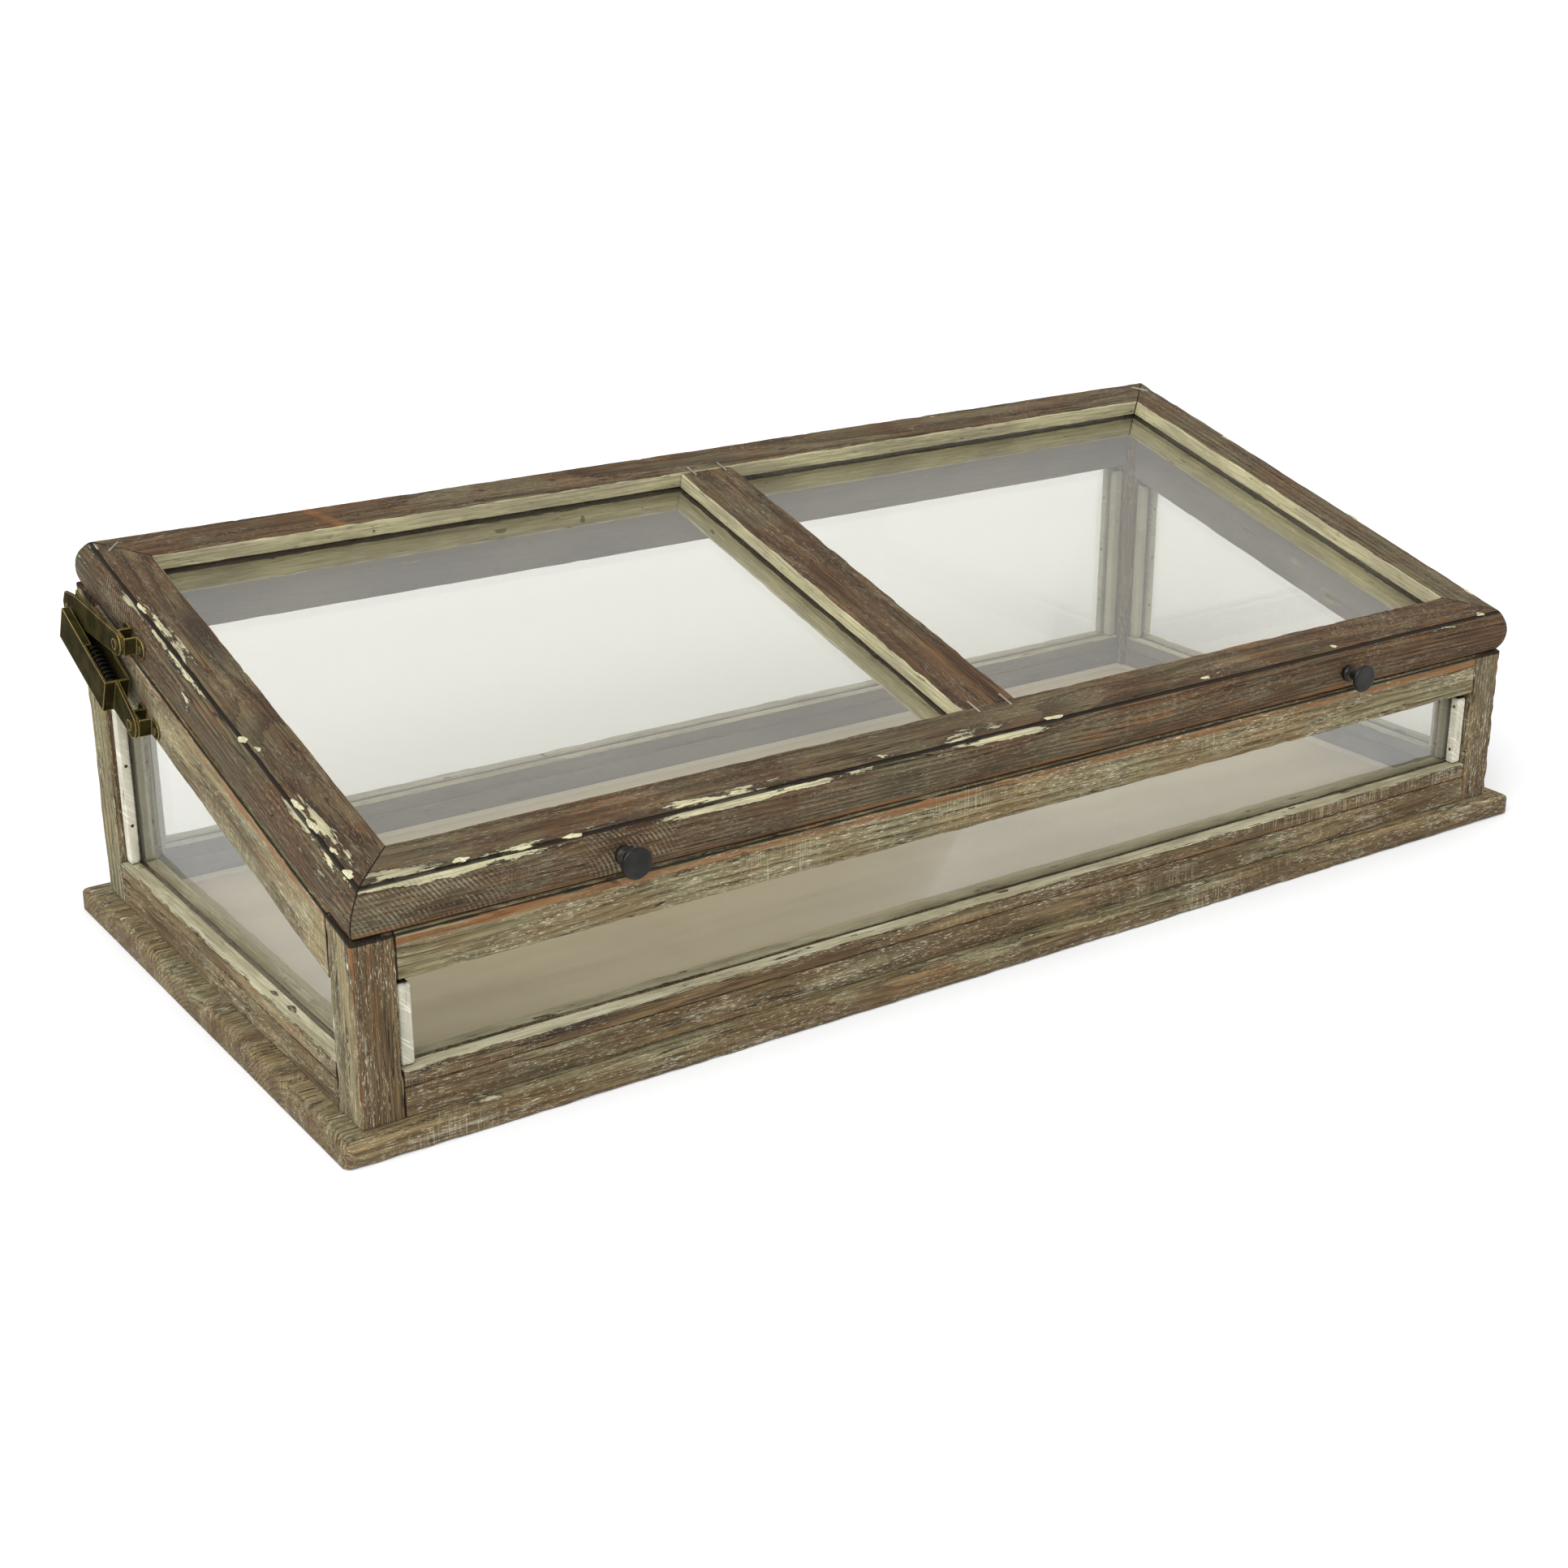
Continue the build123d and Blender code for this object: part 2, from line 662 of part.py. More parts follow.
def hat_bracket():
    """A strap with two rounded feet and a raised bridge that carries the pivot rivet."""
    bridge = bracket_bridge_length / 2
    end = bridge + bracket_foot_length
    half = bracket_strap_width / 2
    foot = (0, stay_metal)
    body = block((-end + half, end - half), (-half, half), foot)
    for side in (-1, 1):
        body += disc(half, (side * (end - half), 0), foot)
        wall = mirrored((bridge - stay_metal, bridge), side)
        body += block(wall, (-half, half), (0, bracket_bridge_height))
    inside = (-bridge + stay_metal, bridge - stay_metal)
    body -= block(inside, (-half, half), foot)
    body += block((-bridge, bridge), (-half, half), (bracket_bridge_height - stay_metal, bracket_bridge_height))
    for x in bracket_screw_places():
        body -= disc(bracket_screw_radius + screw_hole_clearance, (x, 0), foot)
    return body - disc(rivet_radius, (0, 0), (bracket_bridge_height - stay_metal, bracket_bridge_height))


def bracket_screw_places():
    """The middles of a bracket's two feet."""
    reach = (bracket_bridge_length + bracket_foot_length) / 2
    return (-reach, reach)


def bracket_screws():
    """Two round-headed screws through the bracket's feet."""
    screws = []
    for x in bracket_screw_places():
        head = disc(bracket_screw_head_radius, (x, 0), (stay_metal, stay_metal + bracket_screw_head_height))
        head = fillet(head.edges().group_by(Axis.Z)[-1], bracket_screw_dome)
        shank = disc(bracket_screw_radius, (x, 0), (stay_metal - bracket_screw_length, stay_metal))
        screws.append(head + shank)
    return Compound(screws)


def pivot_rivet():
    """A shouldered rivet, fast in the bracket, on which the arm or the link turns."""
    bridge = bracket_bridge_height
    outer = arm_span[1] + pivot_side_play
    rivet = disc(rivet_radius, (0, 0), (bridge - stay_metal - rivet_seat, outer))
    rivet += disc(rivet_head_radius, (0, 0), (bridge - stay_metal - rivet_head_thickness, bridge - stay_metal))
    rivet += disc(rivet_shoulder_radius, (0, 0), (bridge, bridge + rivet_shoulder_thickness))
    return rivet + disc(rivet_head_radius, (0, 0), (outer, outer + rivet_head_thickness))


def stay_arm():
    """The short flat arm from the lid's bracket to the knuckle inside the channel."""
    reach = arm_length
    arm = plate(arm_tail + [(reach, arm_end_radius), (reach, -arm_end_radius), arm_belly], arm_span)
    tail = [edge for edge in arm.edges().filter_by(Axis.Z) if edge.center().X < 0]
    arm = fillet(tail, arm_corner_radius)
    arm += disc(arm_end_radius, (reach, 0), arm_span)
    arm -= disc(rivet_radius + rivet_clearance, (reach, 0), arm_span)
    arm -= disc(knuckle_pin_radius, (0, 0), arm_span)
    return stay_plane(knuckle, pivot_lid).location * arm


def knuckle_pin():
    """The pin fast in the arm's end; it reaches in towards the channel's inner wall."""
    inner = channel_inner_face + stay_metal + knuckle_pin_side_play
    outer = arm_span[1] + knuckle_pin_head
    return stay_plane(knuckle, pivot_lid).location * disc(knuckle_pin_radius, (0, 0), (inner, outer))


def stay_channel():
    """The long link: an open-topped channel with a front plate, a lip and a tongue to the body's bracket."""
    low, high = channel_inner_face, channel_inner_face + channel_width
    front = channel_length
    top = [(front, channel_top_at_plate), (-channel_back, channel_top_at_knuckle)]
    bottom = [
        (-channel_back, -channel_top_at_knuckle),
        (0, -channel_bottom_at_knuckle),
        (front, -channel_bottom_at_plate),
    ]
    channel = plate(top + bottom, (low, high))
    pocket = [
        (front - stay_metal, 4 * channel_top_at_plate),
        (-4 * channel_back, 4 * channel_top_at_plate),
        (-4 * channel_back, -4 * channel_bottom_at_plate),
        (-channel_back / 2, -4 * channel_bottom_at_plate),
        (0, -channel_bottom_at_knuckle + stay_metal),
        (front - stay_metal, -channel_bottom_at_plate + stay_metal),
    ]
    channel -= plate(pocket, (low + stay_metal, high - stay_metal))
    shoulder_low = arm_span[1] + channel_shoulder_gap
    start = channel_outer_start
    channel -= plate([(start, far), (-far, far), (-far, -far), (start, -far)], (shoulder_low, high))
    rise = (channel_top_at_plate - channel_top_at_knuckle) / (front + channel_back)
    fall = (channel_bottom_at_knuckle - channel_bottom_at_plate) / front
    shoulder = [
        (start, fall * start - channel_bottom_at_knuckle),
        (start + stay_metal, fall * (start + stay_metal) - channel_bottom_at_knuckle),
        (start + stay_metal, channel_top_at_knuckle + (start + stay_metal + channel_back) * rise),
        (start, channel_top_at_knuckle + (start + channel_back) * rise),
    ]
    channel += plate(shoulder, (shoulder_low, high))
    lip_low = channel_lip_start
    lip_high = lip_low + channel_lip_length
    lip_edge = [channel_top_at_knuckle + (x + channel_back) * rise for x in (lip_low, lip_high)]
    lip = [
        (lip_low, lip_edge[0] - stay_metal),
        (lip_high, lip_edge[1] - stay_metal),
        (lip_high, lip_edge[1]),
        (lip_low, lip_edge[0]),
    ]
    channel += plate(lip, (high - channel_lip_width, high))
    radius = tongue_end_radius
    tongue = [
        (front - stay_metal, channel_top_at_plate),
        (front - stay_metal, -channel_bottom_at_plate),
        (link_length, -radius),
        (link_length, radius),
    ]
    channel += plate(tongue, arm_span) + disc(radius, (link_length, 0), arm_span)
    channel -= disc(rivet_radius + rivet_clearance, (link_length, 0), arm_span)
    return stay_plane(knuckle, pivot_body).location * channel


def stay_spring():
    """A coil spring lying along the channel against its front plate."""
    height = spring_pitch * spring_turns
    coil_radius = spring_outer_radius - spring_wire_radius
    helix = Helix(pitch=spring_pitch, height=height, radius=coil_radius)
    start = Plane(origin=helix @ 0, z_dir=helix % 0)
    coil = sweep(start * Circle(spring_wire_radius), path=helix)
    middle = channel_inner_face + channel_width / 2
    start_x = channel_length - stay_metal - height - spring_wire_radius - spring_end_gap
    return stay_plane(knuckle, pivot_body).location * (Pos(start_x, 0, middle) * Rot(0, 90, 0) * coil)


def spring_stay():
    """Every piece of the stay, on its two brackets."""
    nodes["stay_arm"] = stay_arm()
    nodes["stay_knuckle_pin"] = knuckle_pin()
    nodes["stay_channel"] = stay_channel()
    nodes["stay_spring"] = stay_spring()
    for name, pivot in (("lid", pivot_lid), ("body", pivot_body)):
        place = stay_plane(pivot).location
        nodes[f"stay_{name}_bracket"] = place * hat_bracket()
        nodes[f"stay_{name}_rivet"] = place * pivot_rivet()
        nodes[f"stay_{name}_screws"] = place * bracket_screws()


# ---------------------------------------------------------------- assembly
base_boards()
floor_panel()
corner_posts()
long_wall("front", -1, front_top_rail_depth)
long_wall("rear", 1, top_rail_depth)
side_wall("left", -1)
side_wall("right", 1)
bead_pins()

lid_frame()
centre_bar()
lid_glass()
lid_staples()
for node in [name for name in nodes if name.startswith("lid_")]:
    nodes[node] = lid_plane.location * nodes[node]
knobs()
hinges()
for recess in hinge_recess(-1):
    nodes["top_rail_rear"] -= recess
for recess in hinge_recess(1):
    nodes["lid_rear_rail"] -= recess
spring_stay()

os.makedirs("parts", exist_ok=True)
for node, solid in nodes.items():
    export_step(solid, f"parts/{node}.step")

print(f"{len(nodes)} nodes, slope {degrees(slope):.3f} deg")
print(f"hinge axis y {hinge_axis_y:.4f} z {hinge_axis_z:.4f}")
print(f"lid pivot {pivot_lid}, body pivot {pivot_body}, knuckle {knuckle}")
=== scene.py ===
import math

import bmesh
import bpy
import numpy as np
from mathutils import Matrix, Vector


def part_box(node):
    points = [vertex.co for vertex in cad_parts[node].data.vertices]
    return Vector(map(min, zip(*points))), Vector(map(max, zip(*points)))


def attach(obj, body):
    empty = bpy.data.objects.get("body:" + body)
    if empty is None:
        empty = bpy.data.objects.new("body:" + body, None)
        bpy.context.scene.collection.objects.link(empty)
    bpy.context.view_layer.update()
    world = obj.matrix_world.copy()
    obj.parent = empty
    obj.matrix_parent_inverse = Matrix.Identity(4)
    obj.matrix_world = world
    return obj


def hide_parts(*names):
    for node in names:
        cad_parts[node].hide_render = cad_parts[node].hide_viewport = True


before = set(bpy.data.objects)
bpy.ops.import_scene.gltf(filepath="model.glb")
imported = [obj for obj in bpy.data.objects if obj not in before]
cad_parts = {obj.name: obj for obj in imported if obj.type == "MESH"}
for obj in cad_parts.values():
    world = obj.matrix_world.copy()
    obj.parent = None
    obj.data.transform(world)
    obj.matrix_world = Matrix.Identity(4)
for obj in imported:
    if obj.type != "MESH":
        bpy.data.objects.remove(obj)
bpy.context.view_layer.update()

# Cold frame: the looks. Weathered timber is built here round the frame's boards, the stay's pressed
# parts are copies with rolled edges, and glass and small metal keep the frame's own shapes. Metres,
# X along the length, Y from the front to the rear, Z up.
MM = 0.001


# ------------ sizes read from the frame
def low_high(node):
    """A node's lowest and highest corners as arrays."""
    low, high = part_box(node)
    return np.array(low), np.array(high)


BODY_LOW, _ = low_high("post_front_left")
_, BODY_HIGH = low_high("post_rear_right")
FRONT_Y = BODY_LOW[1]
REAR_Y = BODY_HIGH[1]
HALF_LENGTH = BODY_HIGH[0]
INNER_POST_Y = low_high("post_rear_left")[0][1]
_, FRONT_RAIL_HIGH = low_high("top_rail_front")
_, REAR_RAIL_HIGH = low_high("top_rail_rear")
SLOPE = math.atan2(REAR_RAIL_HIGH[2] - FRONT_RAIL_HIGH[2], REAR_RAIL_HIGH[1] - FRONT_RAIL_HIGH[1])
SEAM_REAR = REAR_RAIL_HIGH[2]

# sections, as the boards were planed
GLASS_SETBACK = 13 * MM  # from a wall's outer face to its groove
GROOVE = 4.5 * MM
SILL_GROOVE_DEPTH = 4 * MM
RAIL_GROOVE_DEPTH = 8 * MM
TOP_RAIL_DEPTH = 44 * MM
BEAD_WIDTH = 11 * MM
BEAD_GAP = 1.5 * MM
BEAD_SHORT = 3.5 * MM  # a bead stops this far under the rail
BEAD_SLACK = 1.5 * MM  # and stands this far off its post
LID_GAP = 1 * MM
LID_THICKNESS = 36.5 * MM
LID_WIDTH = 44 * MM
LID_GROOVE_LOW = 18.5 * MM
LID_UNDERSIDE_INSET = 3 * MM
QUIRK_INSET = 8 * MM
QUIRK_WIDTH = 1.6 * MM
QUIRK_DEPTH = 1.2 * MM
BAR_WIDTH = 50 * MM
BAR_DROP = 1 * MM
BASE_EDGE_RADIUS = 8 * MM
NOSE_POINTS = 17
SCUFF_PLACE = 356 * MM  # of the rub across the lid's rear rail, from its middle

# how far marks reach
SOOT_AND_SHADE_REACH = 0.5 * MM  # from a marked corner: soot in a joint, painted shade in a quirk or at the lid nose's lower edge
END_SOOT = 0.8 * MM  # from a joint at a board's end
END_WEAR = 2.0 * MM
FACE_SHADE = 1.6 * MM  # from an outer face, along the edge that the lid shades
SPARSE_PAINT = 0.10  # what is left of the paint on plain wood

AXIS_X = np.array([1.0, 0.0, 0.0])
AXIS_Y = np.array([0.0, 1.0, 0.0])
AXIS_Z = np.array([0.0, 0.0, 1.0])
UP_SLOPE = np.array([0.0, math.cos(SLOPE), math.sin(SLOPE)])
OFF_SLOPE = np.array([0.0, -math.sin(SLOPE), math.cos(SLOPE)])
SLOPE_LENGTH = (REAR_Y - FRONT_Y) / math.cos(SLOPE)
SEAM_FRONT = SEAM_REAR - (REAR_Y - FRONT_Y) * math.tan(SLOPE)
LID_CORNER = np.array([0.0, FRONT_Y, SEAM_FRONT]) + LID_GAP * OFF_SLOPE


def seam_height(y):
    """Height of the body's sloping top at depth y."""
    return SEAM_FRONT + (y - FRONT_Y) * math.tan(SLOPE)


# ------------ shader sums
class Number:
    """A shader socket that takes part in sums: each operator adds the Math node that works it out."""

    def __init__(self, finish, socket):
        self.finish = finish
        self.socket = socket

    def sum(self, operation, first, second=0.0):
        return self.finish.node("ShaderNodeMath", {"operation": operation}, {0: first, 1: second})

    def __add__(self, other):
        return self.sum("ADD", self, other)

    def __radd__(self, other):
        return self.sum("ADD", other, self)

    def __sub__(self, other):
        return self.sum("SUBTRACT", self, other)

    def __rsub__(self, other):
        return self.sum("SUBTRACT", other, self)

    def __mul__(self, other):
        return self.sum("MULTIPLY", self, other)

    def __rmul__(self, other):
        return self.sum("MULTIPLY", other, self)

    def __truediv__(self, other):
        return self.sum("DIVIDE", self, other)

    def most(self, other):
        return self.sum("MAXIMUM", self, other)

    def least(self, other):
        return self.sum("MINIMUM", self, other)

    def sine(self):
        return self.sum("SINE", self)

    def root(self):
        return self.sum("SQRT", self)

    def fraction(self):
        return self.sum("FRACT", self)

    def size(self):
        return self.sum("ABSOLUTE", self)

    def step(self, low, high):
        """0 below low, 1 above high, eased between; the other way round where low is the larger."""
        settings = {"interpolation_type": "SMOOTHSTEP"}
        return self.finish.node(
            "ShaderNodeMapRange", settings, {"Value": self, "From Min": low, "From Max": high}
        )


class Finish:
    """A material under construction."""

    def __init__(self, name):
        self.material = bpy.data.materials.new(name)
        self.material.use_nodes = True
        self.tree = self.material.node_tree
        self.tree.nodes.clear()

    def node(self, kind, settings=None, inputs=None, out=0):
        """A node of this kind: settings first, then its sockets' values or links. Gives one output."""
        made = self.tree.nodes.new(kind)
        for name, value in (settings or {}).items():
            setattr(made, name, value)
        for name, value in (inputs or {}).items():
            if isinstance(value, Number):
                self.tree.links.new(value.socket, made.inputs[name])
            else:
                made.inputs[name].default_value = value
        return Number(self, made.outputs[out])

    def attribute(self, name):
        return self.node("ShaderNodeAttribute", {"attribute_name": name}, out="Vector")

    def object_place(self):
        return self.node("ShaderNodeTexCoord", out="Object")

    def parts(self, vector):
        split = self.node("ShaderNodeSeparateXYZ", {}, {0: vector})
        outputs = split.socket.node.outputs
        return [Number(self, outputs[i]) for i in range(3)]

    def joined(self, x, y, z):
        return self.node("ShaderNodeCombineXYZ", {}, {0: x, 1: y, 2: z})

    def stretched(self, vector, x, y, z):
        return self.node("ShaderNodeVectorMath", {"operation": "MULTIPLY"}, {0: vector, 1: (x, y, z)})

    def noise(self, vector, detail=3.0, roughness=0.55):
        inputs = {"Vector": vector, "Scale": 1.0, "Detail": detail, "Roughness": roughness}
        return self.node("ShaderNodeTexNoise", {}, inputs)

    def mix(self, share, first, second):
        """One colour into another by a share of 0 to 1."""
        inputs = {0: share, 6: first, 7: second}
        return self.node("ShaderNodeMix", {"data_type": "RGBA"}, inputs, out=2)

    def layered(self, colour, *layers):
        """Colours laid over the first, each by its share: layers are (share, colour) pairs."""
        for share, over in layers:
            colour = self.mix(share, colour, over)
        return colour

    def grained(self, grain, lengthwise, crosswise, detail=3.0, roughness=0.55):
        """Noise with so many waves to the metre along the grain and across it."""
        stretched = self.stretched(grain, lengthwise, crosswise, crosswise)
        return self.noise(stretched, detail, roughness)

    def bump(self, height, distance):
        inputs = {"Height": height, "Distance": distance, "Strength": 1.0}
        return self.node("ShaderNodeBump", {}, inputs)

    def surface(self, shader):
        """Wires a shader to the output and hands back the finished material."""
        out = self.tree.nodes.new("ShaderNodeOutputMaterial")
        self.tree.links.new(shader.socket, out.inputs["Surface"])
        return self.material

    def skin(self, sockets):
        """The finished material of an opaque surface, from its Principled shader's sockets."""
        return self.surface(self.node("ShaderNodeBsdfPrincipled", {}, sockets))


def tint(code):
    """A colour from its six-digit code, in the linear light that shaders use."""
    parts = [int(code[i:i + 2], 16) / 255 for i in (0, 2, 4)]
    return (*[((c + 0.055) / 1.055) ** 2.4 if c > 0.04 else c / 12.92 for c in parts], 1.0)


def placed(name, data):
    """An object of this data, at the origin."""
    made = bpy.data.objects.new(name, data)
    bpy.context.collection.objects.link(made)
    return made


# ------------ finishes
DIRT = tint("2b2119")
# near-black for soot in joints and cracks, and for the painted shade under the lid and in the lid's quirks
SOOT_AND_SHADE = tint("17120d")
RING_WIDTH = 3.6 * MM


def weathered_timber(name, heart, dark, late, grey, bare, wash, paint, ripple_share):
    """Sawn softwood that has stood out of doors.

    Grain: growth rings round a pith line outside the board, bent by slow noise and by knots, with fine
    fibres on top. Over it: grey and warm patches, limewash left in the pores, slanting saw marks, planer
    ripples, old paint that holds where the coat attribute says, bare wood on the rubbed arrises, grey
    paint on inner faces, soot in the joints, and painted shade in the quirks and along the lid's edges."""
    f = Finish(name)
    grain = f.attribute("grain")
    wear, paint_hold, inner = f.parts(f.attribute("coat"))
    soot, rub, ripples = f.parts(f.attribute("marks"))
    tone, limewash, _ = f.parts(f.attribute("board"))
    along, across, deep = f.parts(grain)

    drift = f.grained(grain, 2.2, 9, 2.0)
    patches = f.grained(grain, 6, 34, 5.0, 0.62)
    fibres = f.grained(grain, 26, 1000, 4.0, 0.7)
    streaks = f.grained(grain, 9, 230, 5.0, 0.65)
    reach = f.grained(grain, 10, 5, 3.0, 0.6)
    warm = f.grained(grain, 7, 42, 4.0, 0.6)

    knot_map = f.node(
        "ShaderNodeTexVoronoi", {"distance": "EUCLIDEAN"},
        {"Vector": f.stretched(grain, 2.6, 14, 9), "Scale": 1.0, "Randomness": 1.0},
    )
    knot = knot_map.step(0.15, 0.06)
    knot_pull = knot_map.step(0.42, 0.05)

    pith_distance = (across * across + deep * deep).root()
    radius = pith_distance + (drift - 0.5) * (16 * MM) + knot_pull * (6 * MM)
    ring = (radius / RING_WIDTH + (streaks - 0.5) * 0.5).fraction()
    latewood = ring.step(0.30, 0.95) * ring.step(1.0, 0.93)
    split_lines = (f.grained(grain, 4, 120, 2.0) - 0.5).size()
    crack = split_lines.step(0.010, 0.003) * patches.step(0.44, 0.56)
    colour = f.layered(
        f.mix((tone + (patches - 0.5) * 1.8).step(0.0, 1.0), dark, heart),
        ((reach * 0.5 + warm * 0.5 + (tone - 0.5) * 0.2).step(0.44, 0.62), grey),
        (warm.step(0.56, 0.70) * 0.55, bare),
        (latewood * (0.25 + patches * 0.7), late),
        (streaks.step(0.52, 0.68) * 0.75, late),
        (fibres.step(0.58, 0.38) * 0.55, DIRT),
        (reach.step(0.55, 0.72) * streaks.step(0.60, 0.42) * 0.55, DIRT),
        (knot * 0.8, DIRT),
        (crack * 0.85, SOOT_AND_SHADE),
    )

    pores = f.grained(grain, 170, 1500, 3.0, 0.7)
    blots = f.grained(grain, 70, 330, 4.0, 0.7)
    wash_patch = f.grained(grain, 13, 52, 4.0, 0.6)
    washed = pores.step(0.575, 0.63) * wash_patch.step(0.34, 0.60)
    film = (streaks * 0.6 + blots * 0.4).step(0.50, 0.64) * wash_patch.step(0.46, 0.66)
    wash_mask = (washed * 0.75 + film * 0.42).least(1.0) * limewash

    with_blade = (along * 0.45 + across * 0.89) * 75
    over_blade = (across * 0.45 - along * 0.89) * 1100
    marks = f.noise(f.joined(with_blade, over_blade, deep * 40), 1.0).step(0.55, 0.66)
    saw = marks * f.grained(grain, 7, 18, 2.0).step(0.56, 0.66) * 0.24 * limewash

    ripple_shift = along * 1750 + (drift - 0.5) * 40 + (across + deep) * 1000 + (reach - 0.5) * 9
    ripple = ripple_shift.sine().step(-0.3, 0.9)
    washboard = ripple * ripples * (blots * 0.5 + wash_patch * 0.5).step(0.44, 0.56) * ripple_share

    bite = f.grained(grain, 45, 420, 4.0, 0.65)
    rub_reach = rub * (reach * 1.2 + warm * 1.2 - 0.35)
    rubbed = (wear * (reach * 1.3) + rub_reach + (bite - 0.5) * 0.9).step(0.50, 0.95)
    dirt = (wear * (1.35 - reach * 0.5) + (bite - 0.5) * 0.9).step(0.86, 1.05)

    flake = f.grained(grain, 20, 110, 8.0, 0.74)
    holding = paint_hold + (flake - 0.5) * 2.1
    held = holding.step(0.50, 0.56)
    rim = holding.step(0.40, 0.49) - held
    stain = f.grained(grain, 14, 60, 5.0, 0.65)
    paint_colour = f.layered(
        paint,
        (stain.step(0.38, 0.62), tint("a8a286")),
        (fibres.step(0.60, 0.40) * 0.45, tint("746b4f")),
        (blots.step(0.60, 0.72) * 0.6, late),
    )

    haze = f.grained(grain, 7, 30)
    inner_colour = f.layered(
        tint("5f5b57"),
        (haze.step(0.3, 0.7), tint("7b756e")),
        (streaks.step(0.56, 0.70) * 0.4, tint("45413c")),
    )
    colour = f.layered(
        colour,
        (wash_mask, wash),
        (saw, wash),
        (washboard * 0.42, wash),
        (rubbed * 0.72, bare),
        (dirt * 0.75, DIRT),
        (rim.most(0.0) * 0.7, DIRT),
        (held, paint_colour),
        (inner.step(0.4, 0.6), inner_colour),
        # soot in joints and cracks, and painted shade under the lid and in the quirks
        ((soot + (bite - 0.5) * 0.3).step(0.25, 0.6) * 0.92, SOOT_AND_SHADE),
    )

    height = fibres * 0.6 + latewood * 0.7 + washed * 0.15 + held * 1.4 - knot * 0.4 + saw * 0.4
    height = height + washboard - crack * 1.2
    return f.skin({
        "Base Color": colour,
        "Roughness": 0.82 - held * 0.18 - knot * 0.15 + fibres * 0.08,
        "Normal": f.bump(height, 0.55 * MM),
        "Specular IOR Level": 0.25,
    })


def painted_wood(name, paint, shade, worn, brown_share):
    """Thin old paint on planed strips.

    Saw marks run across it, grey grime along the grain, and brown wood shows where it has gone."""
    f = Finish(name)
    grain = f.attribute("grain")
    wear, _, inner = f.parts(f.attribute("coat"))
    soot, _, _ = f.parts(f.attribute("marks"))
    along, across, deep = f.parts(grain)
    streaks = f.grained(grain, 20, 260, 4.0, 0.6)
    cloud = f.grained(grain, 22, 60)
    over_blade = (along * 0.75 + across * 0.66) * 900
    with_blade = (across * 0.75 - along * 0.66) * 60
    saw = f.noise(f.joined(over_blade, with_blade, deep * 90), 2.0).step(0.52, 0.66)
    gone = (wear * 0.9 + (streaks - 0.5) * 1.4 + (cloud - 0.5) * 0.8).step(0.55, 0.72)
    colour = f.layered(
        paint,
        (cloud.step(0.32, 0.68), shade),
        (streaks.step(0.56, 0.74) * 0.4, worn),
        (saw * 0.55, tint("ebe7da")),
        (gone * brown_share, worn),
        (inner.step(0.4, 0.6) * 0.6, tint("8d8b78")),
        # the soot-and-shade mark: darkens the strips' corners, and paints shade on the paint flakes'
        # undersides
        (soot.step(0.35, 0.8) * 0.9, SOOT_AND_SHADE),
    )
    height = streaks * 0.5 + saw * 0.4 - gone * 0.8
    return f.skin({
        "Base Color": colour,
        "Roughness": 0.68 + gone * 0.15,
        "Normal": f.bump(height, 0.3 * MM),
        "Specular IOR Level": 0.4,
    })


def bare_ply():
    """The floor sheet: pale sanded ply, faint long figure, dust and a lighter rim of old filler."""
    f = Finish("bare_ply")
    place = f.object_place()
    x, y, _ = f.parts(place)
    figure = f.noise(f.stretched(place, 3, 38, 4), 4.0, 0.55)
    dust = f.noise(f.stretched(place, 9, 9, 9), 3.0, 0.6)
    speck = f.noise(f.stretched(place, 420, 700, 420), 2.0)
    _, high = low_high("floor_panel")
    rag = f.noise(f.stretched(place, 60, 60, 1), 4.0, 0.6) * 9 * MM
    from_edge = (high[0] - x.size()).least(high[1] - y.size())
    rim = (from_edge - rag).step(7 * MM, 4 * MM)
    colour = f.layered(
        tint("bcae91"),
        (figure.step(0.3, 0.7), tint("c6b99c")),
        (dust.step(0.42, 0.75) * 0.3, tint("a79b80")),
        (speck.step(0.62, 0.72) * 0.25, tint("8a8069")),
        (rim * 0.65, tint("d8d1bd")),
    )
    return f.skin({
        "Base Color": colour,
        "Roughness": 0.8 + dust * 0.1,
        "Normal": f.bump(figure + speck, 0.1 * MM),
    })


def clear_glass():
    """Clear panes: mostly see-through with a faint green-grey body, and a soft sky gloss by Fresnel."""
    f = Finish("clear_glass")
    place = f.object_place()
    film = f.noise(f.stretched(place, 6, 6, 6), 3.0)
    through = f.node("ShaderNodeBsdfTransparent", {}, {"Color": (0.925, 0.925, 0.905, 1.0)})
    gloss = f.node("ShaderNodeBsdfGlossy", {}, {"Color": (1.0, 1.0, 1.0, 1.0), "Roughness": 0.03})
    dust = f.node("ShaderNodeBsdfDiffuse", {}, {"Color": (0.75, 0.75, 0.72, 1.0)})
    facing = f.node("ShaderNodeFresnel", {}, {"IOR": 1.45})
    pane = f.node("ShaderNodeMixShader", {}, {0: facing * 0.28, 1: through, 2: gloss})
    pane = f.node("ShaderNodeMixShader", {}, {0: 0.004 + film * 0.012, 1: pane, 2: dust})
    return f.surface(pane)


